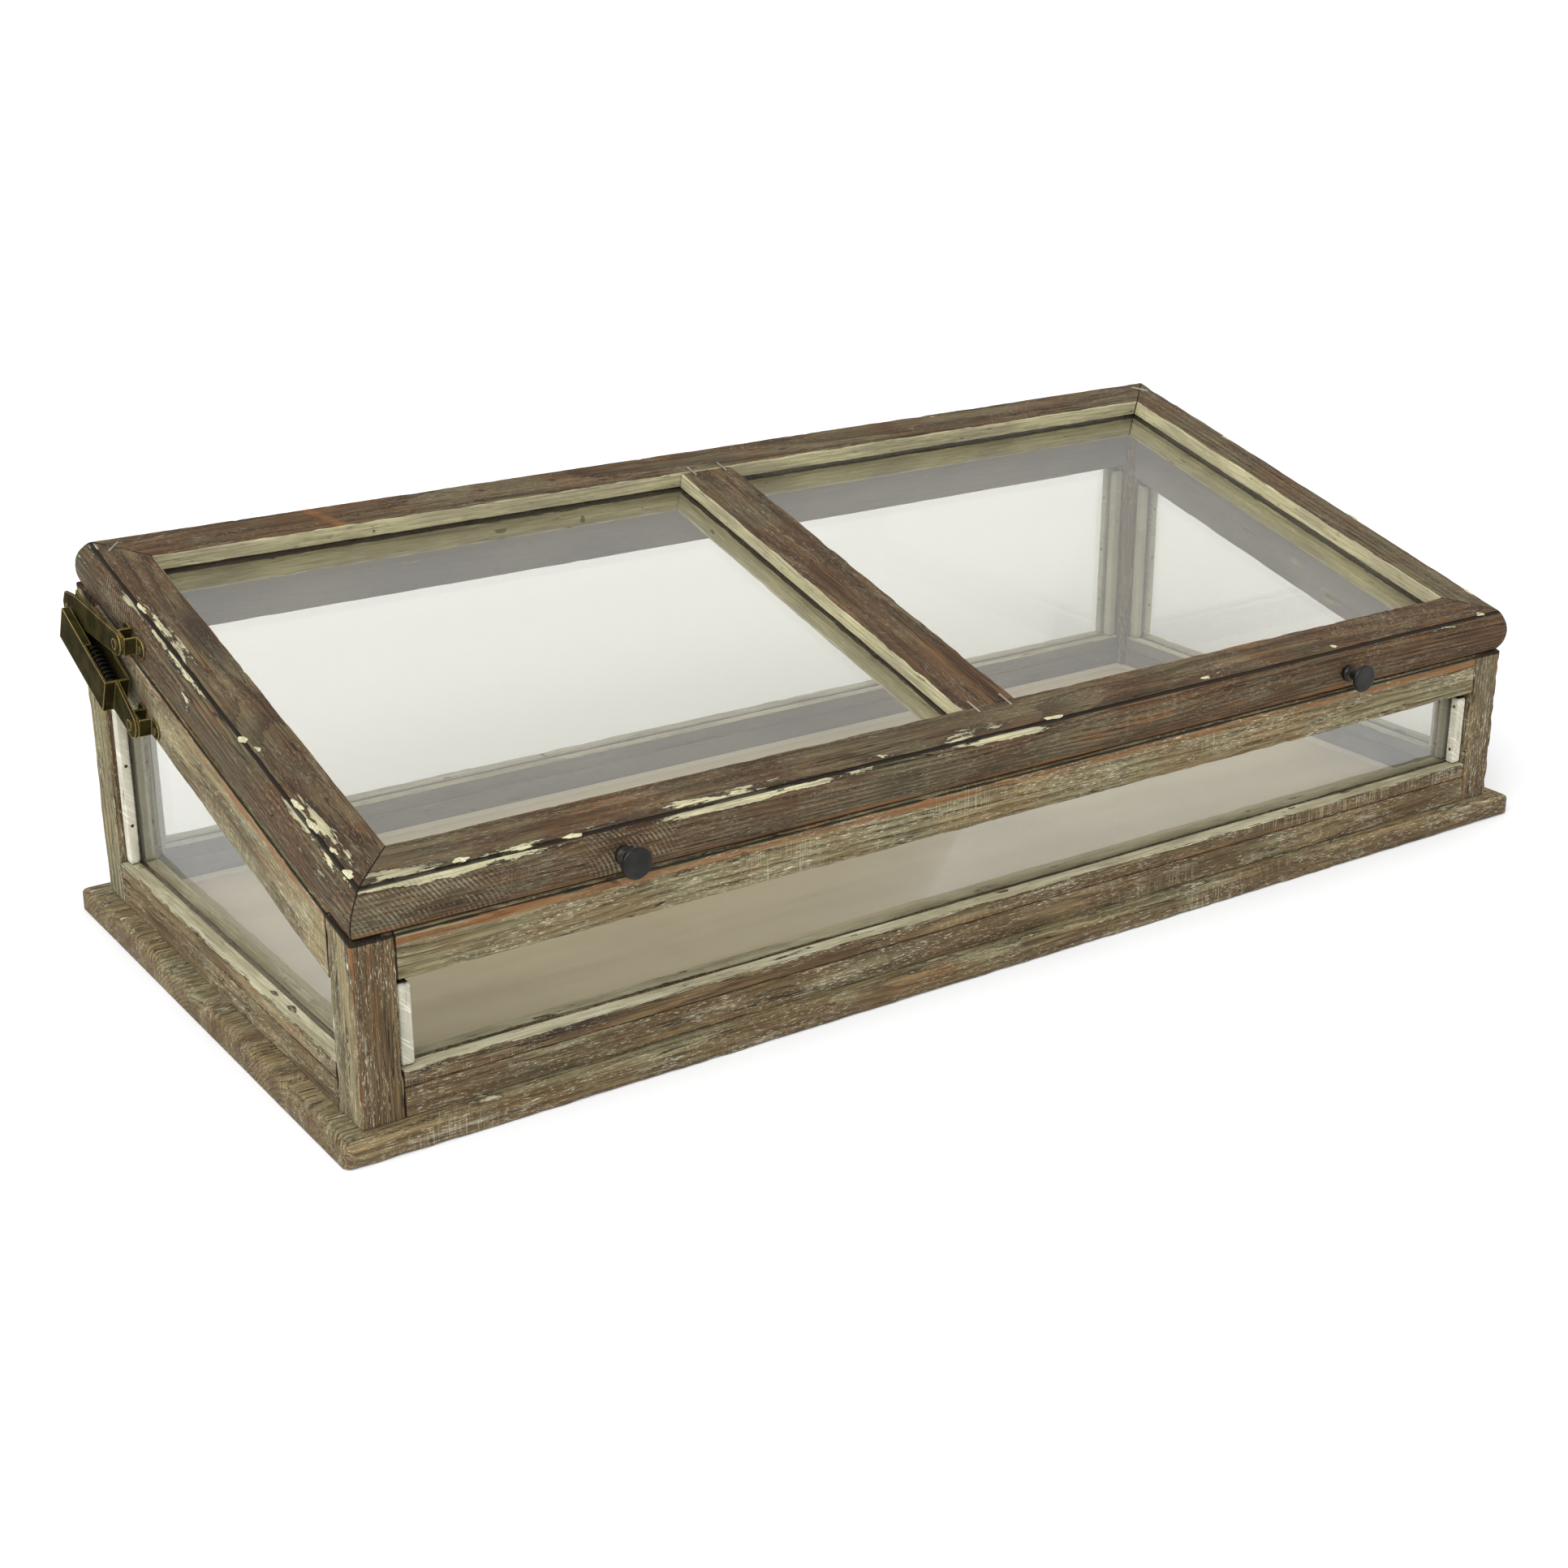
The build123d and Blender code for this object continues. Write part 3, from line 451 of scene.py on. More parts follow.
def softened(node, body, finish, width):
    """A copy of a frame node: loose triangles joined, flats made whole, edges rolled over by width."""
    shape = bmesh.new()
    shape.from_mesh(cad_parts[node].data)
    bmesh.ops.remove_doubles(shape, verts=shape.verts, dist=0.01 * MM)
    bmesh.ops.dissolve_limit(shape, angle_limit=math.radians(0.8), verts=shape.verts, edges=shape.edges)
    mesh = bpy.data.meshes.new(f"softened_{node}")
    shape.to_mesh(mesh)
    shape.free()
    mesh.materials.clear()
    mesh.materials.append(finish)
    mesh.shade_smooth()
    turning = math.radians(35)
    mesh.set_sharp_from_angle(angle=turning)
    made = placed(f"softened_{node}", mesh)
    roll = made.modifiers.new("rolled_edges", "BEVEL")
    roll.width = width
    roll.segments = 3
    roll.limit_method = "ANGLE"
    roll.angle_limit = turning
    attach(made, body)
    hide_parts(node)


def aged_metal(name, dark, mid, worn, worn_share, metallic, roughness, edge_width, shine=0.5):
    """Cast or pressed metal: a mottled dark skin, rubbed through to bright metal where an edge turns.

    shine is the specular level, low where the skin is as dull as old lacquer."""
    f = Finish(name)
    place = f.object_place()
    mottle = f.noise(f.stretched(place, 60, 60, 60), 4.0, 0.6)
    grit = f.noise(f.stretched(place, 900, 900, 900), 2.0)
    rounded = f.node("ShaderNodeBevel", {"samples": 4}, {"Radius": edge_width})
    true = f.node("ShaderNodeNewGeometry", {}, {}, out="Normal")
    settings = {"operation": "DOT_PRODUCT"}
    turn = 1 - f.node("ShaderNodeVectorMath", settings, {0: rounded, 1: true}, out="Value")
    rubbed = (turn * 6 + (mottle - 0.5) * 0.6 + (grit - 0.5) * 0.3).step(0.22, 0.70)
    colour = f.layered(dark, (mottle.step(0.35, 0.68), mid), (rubbed * worn_share, worn))
    return f.skin({
        "Base Color": colour,
        "Metallic": metallic + rubbed * worn_share * (0.9 - metallic),
        "Roughness": roughness + (mottle - 0.5) * 0.2 - rubbed * 0.2,
        "Normal": f.bump(grit + mottle, 0.08 * MM),
        "Specular IOR Level": shine,
    })


BODY_TIMBER = weathered_timber(
    "body_timber", heart=tint("94805a"), dark=tint("5f4d35"), late=tint("4a3a24"), grey=tint("8b8666"),
    bare=tint("80532f"), wash=tint("d8d2b6"), paint=tint("cbc6a9"), ripple_share=0.0,
)
LID_TIMBER = weathered_timber(
    "lid_timber", heart=tint("6b4f34"), dark=tint("412f20"), late=tint("2d2117"), grey=tint("6c634a"),
    bare=tint("87582f"), wash=tint("b5ae92"), paint=tint("c6c19c"), ripple_share=1.0,
)
BEAD_PAINT = painted_wood("bead_paint", tint("cbc7b6"), tint("aaa795"), tint("6c6150"), 0.8)
CRUSTED_PAINT = painted_wood("crusted_paint", tint("c9c4a0"), tint("aba583"), tint("6c6150"), 0.5)
PLY = bare_ply()
GLASS = clear_glass()
BRASS = aged_metal(
    "antique_brass", tint("221f10"), tint("36311b"), tint("cdb36c"), 1.0, 0.12, 0.55, 1.4 * MM, 0.0
)
BRONZE = aged_metal(
    "dark_bronze", tint("1b1a18"), tint("2a2824"), tint("93825c"), 0.7, 0.5, 0.30, 0.9 * MM, 0.35
)
SPRING = aged_metal(
    "spring_steel", tint("15130f"), tint("2a261e"), tint("6b5f42"), 0.35, 0.6, 0.4, 0.5 * MM, 0.3
)
AGED_STEEL = aged_metal(
    "aged_steel", tint("3a342a"), tint("544a3a"), tint("9a8a68"), 0.5, 0.6, 0.5, 0.8 * MM, 0.3
)
DULL_STEEL = aged_metal(
    "dull_steel", tint("8a857a"), tint("a39e92"), tint("d3cec2"), 0.5, 0.7, 0.4, 0.4 * MM
)


# ------------ shapes
LATTICE = 64


def lumps(seed, x, y):
    """Seeded heights of 0 to 1 on a square lattice, eased from each lattice point to the next."""
    heights = np.random.default_rng(seed).random((LATTICE, LATTICE))
    i = np.floor(x).astype(int)
    j = np.floor(y).astype(int)
    u = (x - i) ** 2 * (3 - 2 * (x - i))
    v = (y - j) ** 2 * (3 - 2 * (y - j))
    i, on_i = i % LATTICE, (i + 1) % LATTICE
    j, on_j = j % LATTICE, (j + 1) % LATTICE
    near = heights[i, j] * (1 - u) + heights[on_i, j] * u
    far = heights[i, on_j] * (1 - u) + heights[on_i, on_j] * u
    return near * (1 - v) + far * v


def eased(value, low, high):
    """0 below low, 1 above high, with a smooth S between."""
    t = np.clip((value - low) / (high - low), 0, 1)
    return t * t * (3 - 2 * t)


def bell(distance, width):
    """1 at no distance, falling as a bell curve to a third at the width."""
    return np.exp(-((distance / width) ** 2))


def stretches(distance, places):
    """1 along each stretch and 0 between, with eased ends; places gives middles and half widths."""
    return sum((np.exp(-(((distance - middle) / half) ** 4)) for middle, half in places), 0 * distance)


def arc(first, through, last, count):
    """Points along the circle through three points, at even angles from the first to the last."""
    a, b, c = np.array(first), np.array(through), np.array(last)
    matrix = 2 * np.array([b - a, c - a])
    centre = np.linalg.solve(matrix, [b @ b - a @ a, c @ c - a @ a])
    angles = np.unwrap([math.atan2(*(p - centre)[::-1]) for p in (a, b, c)])
    angle = np.linspace(angles[0], angles[2], count)
    radius = np.linalg.norm(a - centre)
    return [(centre[0] + radius * math.cos(t), centre[1] + radius * math.sin(t)) for t in angle]


def unit(vector):
    return vector / np.linalg.norm(vector)


def rectangle(x, y):
    """The corners of a rectangle, from its spans, round the way that a Section takes."""
    return [(x[0], y[0]), (x[1], y[0]), (x[1], y[1]), (x[0], y[1])]


class Section:
    """A board's closed cross-section, taken round the way that keeps the wood on the left.

    Each corner becomes an arc that touches both of its straights, and each straight is cut into even
    runs. wear is 1 at a corner that is knocked about and dies away from it as a bell curve; the dark mark
    does the same, much closer: soot at a corner in a joint, painted shade at a corner in a quirk or along
    the lid's shadow line."""

    def __init__(self, corners, radii=0.8 * MM, worn=1.0, run=2.6 * MM, reach=2.0 * MM, sooty=0.0):
        corners = np.array(corners, float)
        count = len(corners)
        radii = np.broadcast_to(radii, count)
        worn = np.broadcast_to(worn, count)
        turns = []
        for i, corner in enumerate(corners):
            back = unit(corners[i - 1] - corner)
            on = unit(corners[(i + 1) % count] - corner)
            if radii[i] == 0:
                turns.append(np.array([corner]))
                continue
            half = math.acos(np.clip(back @ on, -1, 1)) / 2
            touch = radii[i] / math.tan(half)
            middle = corner + unit(back + on) * (radii[i] / math.sin(half) - radii[i])
            steps = max(4, int(math.pi * radii[i] / run) + 2)
            turns.append(np.array(arc(corner + back * touch, middle, corner + on * touch, steps)))
        pieces = []
        for i, turn in enumerate(turns):
            following = turns[(i + 1) % count][0]
            gap = np.linalg.norm(following - turn[-1])
            runs = max(1, round(gap / run))
            share = np.arange(1, runs)[:, None] / runs
            pieces += [turn, turn[-1] + (following - turn[-1]) * share]
        self.points = np.concatenate(pieces)
        tangents = np.roll(self.points, -1, 0) - np.roll(self.points, 1, 0)
        self.outward = np.stack([tangents[:, 1], -tangents[:, 0]], 1)
        self.outward /= np.linalg.norm(self.outward, axis=1)[:, None]
        lengths = np.linalg.norm(self.points - np.roll(self.points, 1, 0), axis=1)
        self.round_distance = np.cumsum(lengths)
        away = np.linalg.norm(self.points[:, None] - corners[None], axis=2)
        self.wear = (worn * bell(away, reach)).max(1)
        # soot at joint corners, painted shade at quirk and shadow-line corners
        self.soot = (sooty * bell(away, SOOT_AND_SHADE_REACH)).max(1)


def carried(section, place, start, end, seed, coat=None, station=5 * MM, chip=1.3 * MM, end_round=0.8 * MM,
            clip=None, pith=None, tone=0.5, limewash=1.0, end_soot=(1.0, 1.0)):
    """A section carried along a board.

    place is (origin, along, across, up). start and end give each point's first and last distance along,
    as (constant, per across, per up), so a mitre or a plumb cut is a sloping plane. The surface is
    pushed inwards by slow waves, grain furrows, dents and chips on the arrises, and the section draws in
    over the last end_round of each end. clip, where given, is a function that holds the section inside a
    box that shrinks towards the ends. coat gives the layers held, inner, soot (painted shade under the
    lid), bare, ripple and tone that it wants, tone and limewash the whole board's paleness and wash, and
    end_soot the dirt in the joints at its two ends. Returns vertices, faces, end caps and the attributes
    that the finishes read."""
    origin, along, across, up = place
    wood = np.random.default_rng(seed)
    pith = wood.uniform((-18, -70), (18, -34)) * MM if pith is None else np.array(pith) * MM
    shift = wood.uniform(0, 9)
    nominal = end[0] - start[0]
    count = max(6, int(nominal / station))
    plain = np.linspace(0, nominal, count)[1:-1]
    close = np.append(end_round * np.array([0, 0.12, 0.35, 0.7, 1.0]), end_round + 0.9 * MM)
    plain = plain[(plain > close[-1] * 1.2) & (plain < nominal - close[-1] * 1.2)]
    stations = np.concatenate([close, plain, nominal - close[::-1]])
    share = (stations / nominal)[:, None]
    from_end = np.minimum(stations, nominal - stations)[:, None]

    p = np.broadcast_to(section.points[:, 0], (len(stations), len(section.points))).copy()
    q = np.broadcast_to(section.points[:, 1], p.shape).copy()
    around = np.broadcast_to(section.round_distance, p.shape)
    distance = start[0] + nominal * share + 0 * p

    waves = 0.18 * MM * lumps(seed, distance / 0.11 + shift, around / 0.035)
    furrows = 0.3 * MM * eased(lumps(seed + 1, distance / 0.13 + shift, around / 0.0045), 0.55, 0.95)
    dents = 0.8 * MM * eased(lumps(seed + 2, distance / 0.016, around / 0.011), 0.86, 1.0)
    bites = eased(lumps(seed + 3, distance / 0.017 + shift, around / 0.02), 0.42, 0.92)
    nibbles = eased(lumps(seed + 4, distance / 0.007, around / 0.02), 0.35, 0.95)
    chips = section.wear * chip * (0.75 * bites + 0.35 * nibbles)
    inward = 1 - np.clip(from_end / end_round, 0, 1)
    ends = end_round * (1 - np.sqrt(np.clip(1 - inward ** 2, 0, 1)))
    if clip is not None:
        ends = ends * 0
    push = waves + furrows + dents + chips + ends
    p -= section.outward[:, 0] * push
    q -= section.outward[:, 1] * push
    if clip is not None:
        p, q = clip(p, q, from_end)

    first = start[0] + start[1] * p + start[2] * q
    last = end[0] + end[1] * p + end[2] * q
    distance = first + (last - first) * share
    vertices = origin + distance[..., None] * along + p[..., None] * across + q[..., None] * up

    rows, columns = p.shape
    index = np.arange(rows * columns).reshape(rows, columns)
    following = np.roll(index, -1, 1)
    quads = np.stack([index[:-1], following[:-1], following[1:], index[1:]], -1).reshape(-1, 4)
    caps = [index[0, ::-1].tolist(), index[-1].tolist()]

    grain = np.stack([distance + shift, p - pith[0], q - pith[1]], -1)
    wear = np.maximum(section.wear * (0.55 + 0.6 * bites), 0.55 * bell(from_end, END_WEAR))
    none = np.zeros_like(p)
    layers = coat(p, q, distance) if coat else {}
    held, inner, shade, bare, ripple, paler = (
        layers.get(layer, none) for layer in ("held", "inner", "soot", "bare", "ripple", "tone")
    )
    at_start = end_soot[0] * bell(stations, END_SOOT)
    at_end = end_soot[1] * bell(nominal - stations, END_SOOT)
    in_joint = np.maximum(at_start, at_end)[:, None]
    # the dark mark: painted shade from the coat, soot in the end joints, and the section's marked corners
    soot = np.maximum.reduce([shade, in_joint + none, section.soot + none])
    stores = {
        "grain": grain,
        "coat": np.stack([wear, held, inner], -1),
        "marks": np.stack([soot, bare, ripple], -1),
        "board": np.stack([paler + tone, none + limewash, none], -1),
    }
    return vertices.reshape(-1, 3), quads, caps, {k: v.reshape(-1, 3) for k, v in stores.items()}


def piece(name, body, nodes, parts, finish, sharp=32):
    """One piece made of carried boards: it rides its body and stands for its nodes of the frame.

    An edge that turns by more than sharp degrees stays crisp."""
    vertices, faces = [], []
    base = 0
    for points, quads, caps, _ in parts:
        vertices.append(points)
        faces += (quads + base).tolist()
        faces += [[v + base for v in cap] for cap in caps]
        base += len(points)
    mesh = bpy.data.meshes.new(name)
    mesh.from_pydata(np.concatenate(vertices).tolist(), [], faces)
    for label in parts[0][3]:
        store = mesh.attributes.new(label, "FLOAT_VECTOR", "POINT")
        values = np.concatenate([part[3][label] for part in parts])
        store.data.foreach_set("vector", values.astype(np.float32).ravel())
    mesh.shade_smooth()
    mesh.set_sharp_from_angle(angle=math.radians(sharp))
    mesh.materials.append(finish)
    made = placed(name, mesh)
    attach(made, body)
    if nodes:
        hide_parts(*nodes)


# ------------ the body's timber
ALONG_X = (np.zeros(3), AXIS_X, AXIS_Y, AXIS_Z)
ALONG_Y = (np.zeros(3), AXIS_Y, -AXIS_X, AXIS_Z)
UPRIGHT = (np.zeros(3), AXIS_Z, AXIS_X, AXIS_Y)


def body_piece(node, board):
    """One worn board of the body, in its node's stead."""
    piece(f"worn_{node}", "body", [node], [board], BODY_TIMBER)


def flat(low, high):
    """Square cuts at both ends."""
    return (low, 0.0, 0.0), (high, 0.0, 0.0)


def inside(p, outer_sign, limit):
    """1 on a wall's inner face: outer_sign is -1 where the wall's outer face is the low side."""
    return eased((limit - p) * outer_sign, -1.5 * MM, 0.5 * MM)


def facing_in(outer_sign, limit, rubbed_height=None, outer=0.0, shade_depth=2.4 * MM):
    """A rail's coat: grey inside, and on a top rail rubbed and shaded under the lid.

    The rub is a bell 5 mm under rubbed_height. The shade fills the last shade_depth of the height,
    close to the outer face."""

    def coat(p, q, distance):
        inner = inside(p, outer_sign, limit)
        layers = {"held": 0 * p + SPARSE_PAINT, "inner": inner}
        if rubbed_height is not None:
            layers["bare"] = bell(q - rubbed_height + 5 * MM, 4 * MM) * (1 - inner)
            # painted shade: the outer face is darkened along its top edge, under the lid
            shade = eased(q, rubbed_height - shade_depth, rubbed_height - shade_depth / 2)
            layers["soot"] = shade * bell(p - outer, FACE_SHADE)
        return layers

    return coat


def sill_coat(outer_sign, limit, top):
    """A sill's coat: painted on top, grey inside."""

    def coat(p, q, distance):
        inner = inside(p, outer_sign, limit)
        held = SPARSE_PAINT + 0.72 * eased(q, top - 1.0 * MM, top - 0.5 * MM)
        lower_arris = bell(q - top + 9 * MM, 3 * MM)
        return {"held": held, "inner": inner, "bare": 0.7 * lower_arris * (1 - inner)}

    return coat


def base_boards():
    """Three edge-jointed boards; the set's outer top edge is rounded, sides and ends alike."""
    for seed, name in ((11, "front"), (12, "middle"), (13, "rear")):
        node = f"base_board_{name}"
        low, high = low_high(node)
        front_edge = BASE_EDGE_RADIUS if name == "front" else 0.7 * MM
        rear_edge = BASE_EDGE_RADIUS if name == "rear" else 0.7 * MM
        corners = rectangle((low[1], high[1]), (low[2], high[2]))
        radii = [1.0 * MM, 1.0 * MM, rear_edge, front_edge]
        worn = [0.8 * (name == "front"), 0.8 * (name == "rear"), 0.5, 0.5]
        section = Section(corners, radii, worn, run=4 * MM, reach=3 * MM)

        def rounded_end(p, q, from_end):
            """Near an end the top stays under a quarter circle, and the outer corner inside one."""
            back_off = np.clip(BASE_EDGE_RADIUS - from_end, 0, BASE_EDGE_RADIUS)
            drop = BASE_EDGE_RADIUS - np.sqrt(BASE_EDGE_RADIUS ** 2 - back_off ** 2)
            q = np.minimum(q, high[2] - drop)
            plan = drop * 0.75
            p = np.maximum(p, low[1] + plan) if name == "front" else p
            p = np.minimum(p, high[1] - plan) if name == "rear" else p
            return p, q

        board = carried(
            section, ALONG_X, *flat(low[0], high[0]), seed, station=5 * MM,
            end_round=BASE_EDGE_RADIUS, clip=rounded_end, pith=((low[1] + high[1]) / 2 / MM, -60),
            coat=lambda p, q, distance: {
                "held": 0.06 + 0.26 * eased(q, high[2] - 3 * MM, high[2] - 1 * MM),
                "tone": 0.40 * eased(q, high[2] - 5 * MM, high[2] - 1 * MM) - 0.1,
            },
            tone=0.42, limewash=0.95, end_soot=(0.0, 0.0),
        )
        body_piece(node, board)


def posts():
    """Four posts cut to the slope on top. outer is the corner that faces out, counted from the low one."""
    top = (seam_height(0.0), 0.0, math.tan(SLOPE))
    for seed, place, outer in (
        (25, "front_left", 0), (30, "front_right", 1), (35, "rear_left", 3), (40, "rear_right", 2),
    ):
        node = f"post_{place}"
        low, high = low_high(node)
        corners = rectangle((low[0], high[0]), (low[1], high[1]))
        radii = [0.9 * MM] * 4
        worn = [0.55] * 4
        radii[outer] = 1.8 * MM
        worn[outer] = 1.0
        section = Section(corners, radii, worn, run=2.4 * MM, reach=2.4 * MM)

        def coat(p, q, distance):
            from_side = np.abs(p - corners[outer][0])
            from_face = np.abs(q - corners[outer][1])
            arris = bell(np.hypot(from_side, from_face), 5 * MM)
            top_half = eased(distance, high[2] - 60 * MM, high[2] - 10 * MM)
            side_face = eased(from_side, 1.6 * MM, 0.8 * MM)
            # painted shade: a dark ring round the post's top edge, under the lid
            under_lid = eased(distance - seam_height(q), -2.4 * MM, -1.2 * MM)
            return {
                "held": 0.08 + 0.20 * side_face,
                "bare": arris * (0.45 + 0.5 * top_half) + 0.25 * top_half * (1 - side_face),
                # painted light: the face that looks along X is painted paler, as if lit from that side
                "tone": 0.75 * side_face,
                "soot": under_lid * bell(np.minimum(from_side, from_face), FACE_SHADE),
            }

        board = carried(
            section, UPRIGHT, (low[2], 0.0, 0.0), top, seed, station=3 * MM, chip=1.6 * MM,
            coat=coat, tone=0.22, end_soot=(1.0, 0.0),
        )
        body_piece(node, board)


def wall_section(outer, inner, bottom, outer_top, inner_top, groove_top=0.0, groove_bottom=0.0):
    """A rail or sill of a wall, outer face first; a glass groove of this depth opens up or down."""
    side = 1 if inner > outer else -1
    near = outer + side * GLASS_SETBACK
    far = near + side * GROOVE
    slope = (inner_top - outer_top) / (inner - outer)
    corners = [(outer, bottom)]
    worn = [0.5]
    if groove_bottom:
        depth = bottom + groove_bottom
        corners += [(near, bottom), (near, depth), (far, depth), (far, bottom)]
        worn += [0.2, 0, 0, 0.2]
    corners += [(inner, bottom), (inner, inner_top)]
    worn += [0.4, 0.4]
    if groove_top:
        depth = outer_top - groove_top
        top_far = outer_top + slope * (far - outer)
        top_near = outer_top + slope * (near - outer)
        corners += [(far, top_far), (far, depth), (near, depth), (near, top_near)]
        worn += [0.2, 0, 0, 0.2]
    corners += [(outer, outer_top)]
    worn += [1.0]
    # the outer corners get the dark mark: soot in the joints, and painted shade under the lid on a top
    # rail's upper corner
    sooty = [1.0] + [0.0] * (len(corners) - 2) + [1.0]
    if side < 0:
        corners = corners[::-1]
        worn = worn[::-1]
    return Section(corners, 0.6 * MM, worn, run=1.8 * MM, sooty=sooty)


def walls():
    """Bottom rails, sills and top rails. The side walls' top rails slope and are cut plumb."""
    half_rail = INNER_POST_Y / math.cos(SLOPE)
    plumb = ((-half_rail, 0.0, math.tan(SLOPE)), (half_rail, 0.0, math.tan(SLOPE)))
    sloping = (np.array([0.0, 0.0, seam_height(0.0)]), UP_SLOPE, -AXIS_X, OFF_SLOPE)
    for seed, wall, level, sign, outer, inner, tones in (
        (60, "front", ALONG_X, -1, FRONT_Y, low_high("sill_front")[1][1], (0.34, 0.22, 0.62)),
        (70, "rear", ALONG_X, 1, REAR_Y, low_high("sill_rear")[0][1], (0.34, 0.22, 0.62)),
        (80, "left", ALONG_Y, 1, HALF_LENGTH, -low_high("sill_left")[1][0], (0.35, 0.5, 0.75)),
        (90, "right", ALONG_Y, -1, -HALF_LENGTH, -low_high("sill_right")[0][0], (0.35, 0.5, 0.75)),
    ):
        run = 0 if level is ALONG_X else 1
        for step, kind in enumerate(("bottom_rail", "sill", "top_rail")):
            node = f"{kind}_{wall}"
            low, high = low_high(node)
            place = level
            cuts = flat(low[run], high[run])
            heights = (low[2], high[2], high[2])
            grooves = (0.0, 0.0)
            coat = facing_in(sign, inner)
            if kind == "sill":
                grooves = (SILL_GROOVE_DEPTH, 0.0)
                coat = sill_coat(sign, inner, high[2])
            elif kind == "top_rail":
                grooves = (0.0, RAIL_GROOVE_DEPTH)
                if run:
                    place = sloping
                    cuts = plumb
                    heights = (-TOP_RAIL_DEPTH, 0.0, 0.0)
                    coat = facing_in(sign, inner, 0.0, outer, 1.5 * MM)
                else:
                    heights = (low[2], seam_height(outer), seam_height(inner))
                    coat = facing_in(sign, inner, heights[1], outer)
            section = wall_section(outer, inner, *heights, *grooves)
            board = carried(section, place, *cuts, seed + step + 1, coat=coat, tone=tones[step])
            body_piece(node, board)


def beads():
    """Painted strips that hold the wall glass, two to a wall outside and two inside."""
    rail_drop = TOP_RAIL_DEPTH / math.cos(SLOPE) + BEAD_GAP
    for layer, inner in (("outer", 0.0), ("inner", 1.0)):
        for seed, place in ((100, "front"), (110, "rear"), (120, "left"), (130, "right")):
            node = f"{layer}_beads_{place}"
            low, high = low_high(node)
            run = 0 if place in ("front", "rear") else 1
            top = (high[2] - BEAD_SHORT, 0.0, 0.0)
            if run:
                top = (seam_height(0.0) - rail_drop - BEAD_SHORT, 0.0, math.tan(SLOPE))
            pair = []
            for k, span in enumerate((
                (low[run] + BEAD_SLACK, low[run] + BEAD_WIDTH),
                (high[run] - BEAD_WIDTH, high[run] - BEAD_SLACK),
            )):
                spans = [(low[0], high[0]), (low[1], high[1])]
                spans[run] = span
                # every corner of a strip gets the dark soot-and-shade mark, a dark outline
                section = Section(
                    rectangle(*spans), 1.6 * MM, 0.6, run=1.5 * MM, reach=1.4 * MM, sooty=0.7,
                )
                pair.append(carried(
                    section, UPRIGHT, (low[2], 0.0, 0.0), top, seed + k + int(3 * inner),
                    station=2.5 * MM, chip=0.8 * MM, end_round=3.0 * MM,
                    coat=lambda p, q, distance: {"inner": 0 * p + inner},
                ))
            piece(f"worn_{node}", "body", [node], pair, BEAD_PAINT)


# ------------ the lid's timber
LID_MIDDLE = LID_CORNER + UP_SLOPE * SLOPE_LENGTH / 2
LID_EDGES = {
    "front_rail": (LID_CORNER, AXIS_X, UP_SLOPE),
    "rear_rail": (LID_CORNER + UP_SLOPE * SLOPE_LENGTH, -AXIS_X, -UP_SLOPE),
    "left_stile": (LID_MIDDLE - AXIS_X * HALF_LENGTH, -UP_SLOPE, AXIS_X),
    "right_stile": (LID_MIDDLE + AXIS_X * HALF_LENGTH, UP_SLOPE, -AXIS_X),
}


def grooved_side(edge, top):
    """The corners of a lid member's side at edge, from underside to top, round the glass groove."""
    groove_in = edge - RAIL_GROOVE_DEPTH
    groove_high = LID_GROOVE_LOW + GROOVE
    return [
        (edge, 0.0), (edge, LID_GROOVE_LOW), (groove_in, LID_GROOVE_LOW), (groove_in, groove_high),
        (edge, groove_high), (edge, top),
    ]


def lid_section():
    """A lid member: flat underside and top, a quirk beside a rounded nose, and a groove for the glass."""
    nose_top = LID_THICKNESS - QUIRK_DEPTH
    nose = arc(
        (QUIRK_INSET, nose_top), (0.0, LID_THICKNESS / 2), (LID_UNDERSIDE_INSET, 0.0), NOSE_POINTS,
    )
    quirk_side = QUIRK_INSET + QUIRK_WIDTH
    corners = grooved_side(LID_WIDTH, LID_THICKNESS)
    corners += [(quirk_side, LID_THICKNESS), (quirk_side, nose_top)] + nose
    radii = [0.8 * MM, 0.5 * MM, 0, 0, 0.5 * MM, 1.4 * MM, 0.5 * MM, 0] + [0] * NOSE_POINTS
    worn = [0.4, 0.2, 0, 0, 0.3, 0.6, 0.75, 0, 0.4] + [0] * (NOSE_POINTS - 2) + [0.4]
    # painted shade in the quirk's bottom corners and along the nose's lower edge, by the gap under the lid
    sooty = [0, 0, 0, 0, 0, 0, 0.3, 1, 1] + [0] * (NOSE_POINTS - 2) + [1]
    return Section(corners, radii, worn, run=2.2 * MM, reach=2.2 * MM, sooty=sooty)


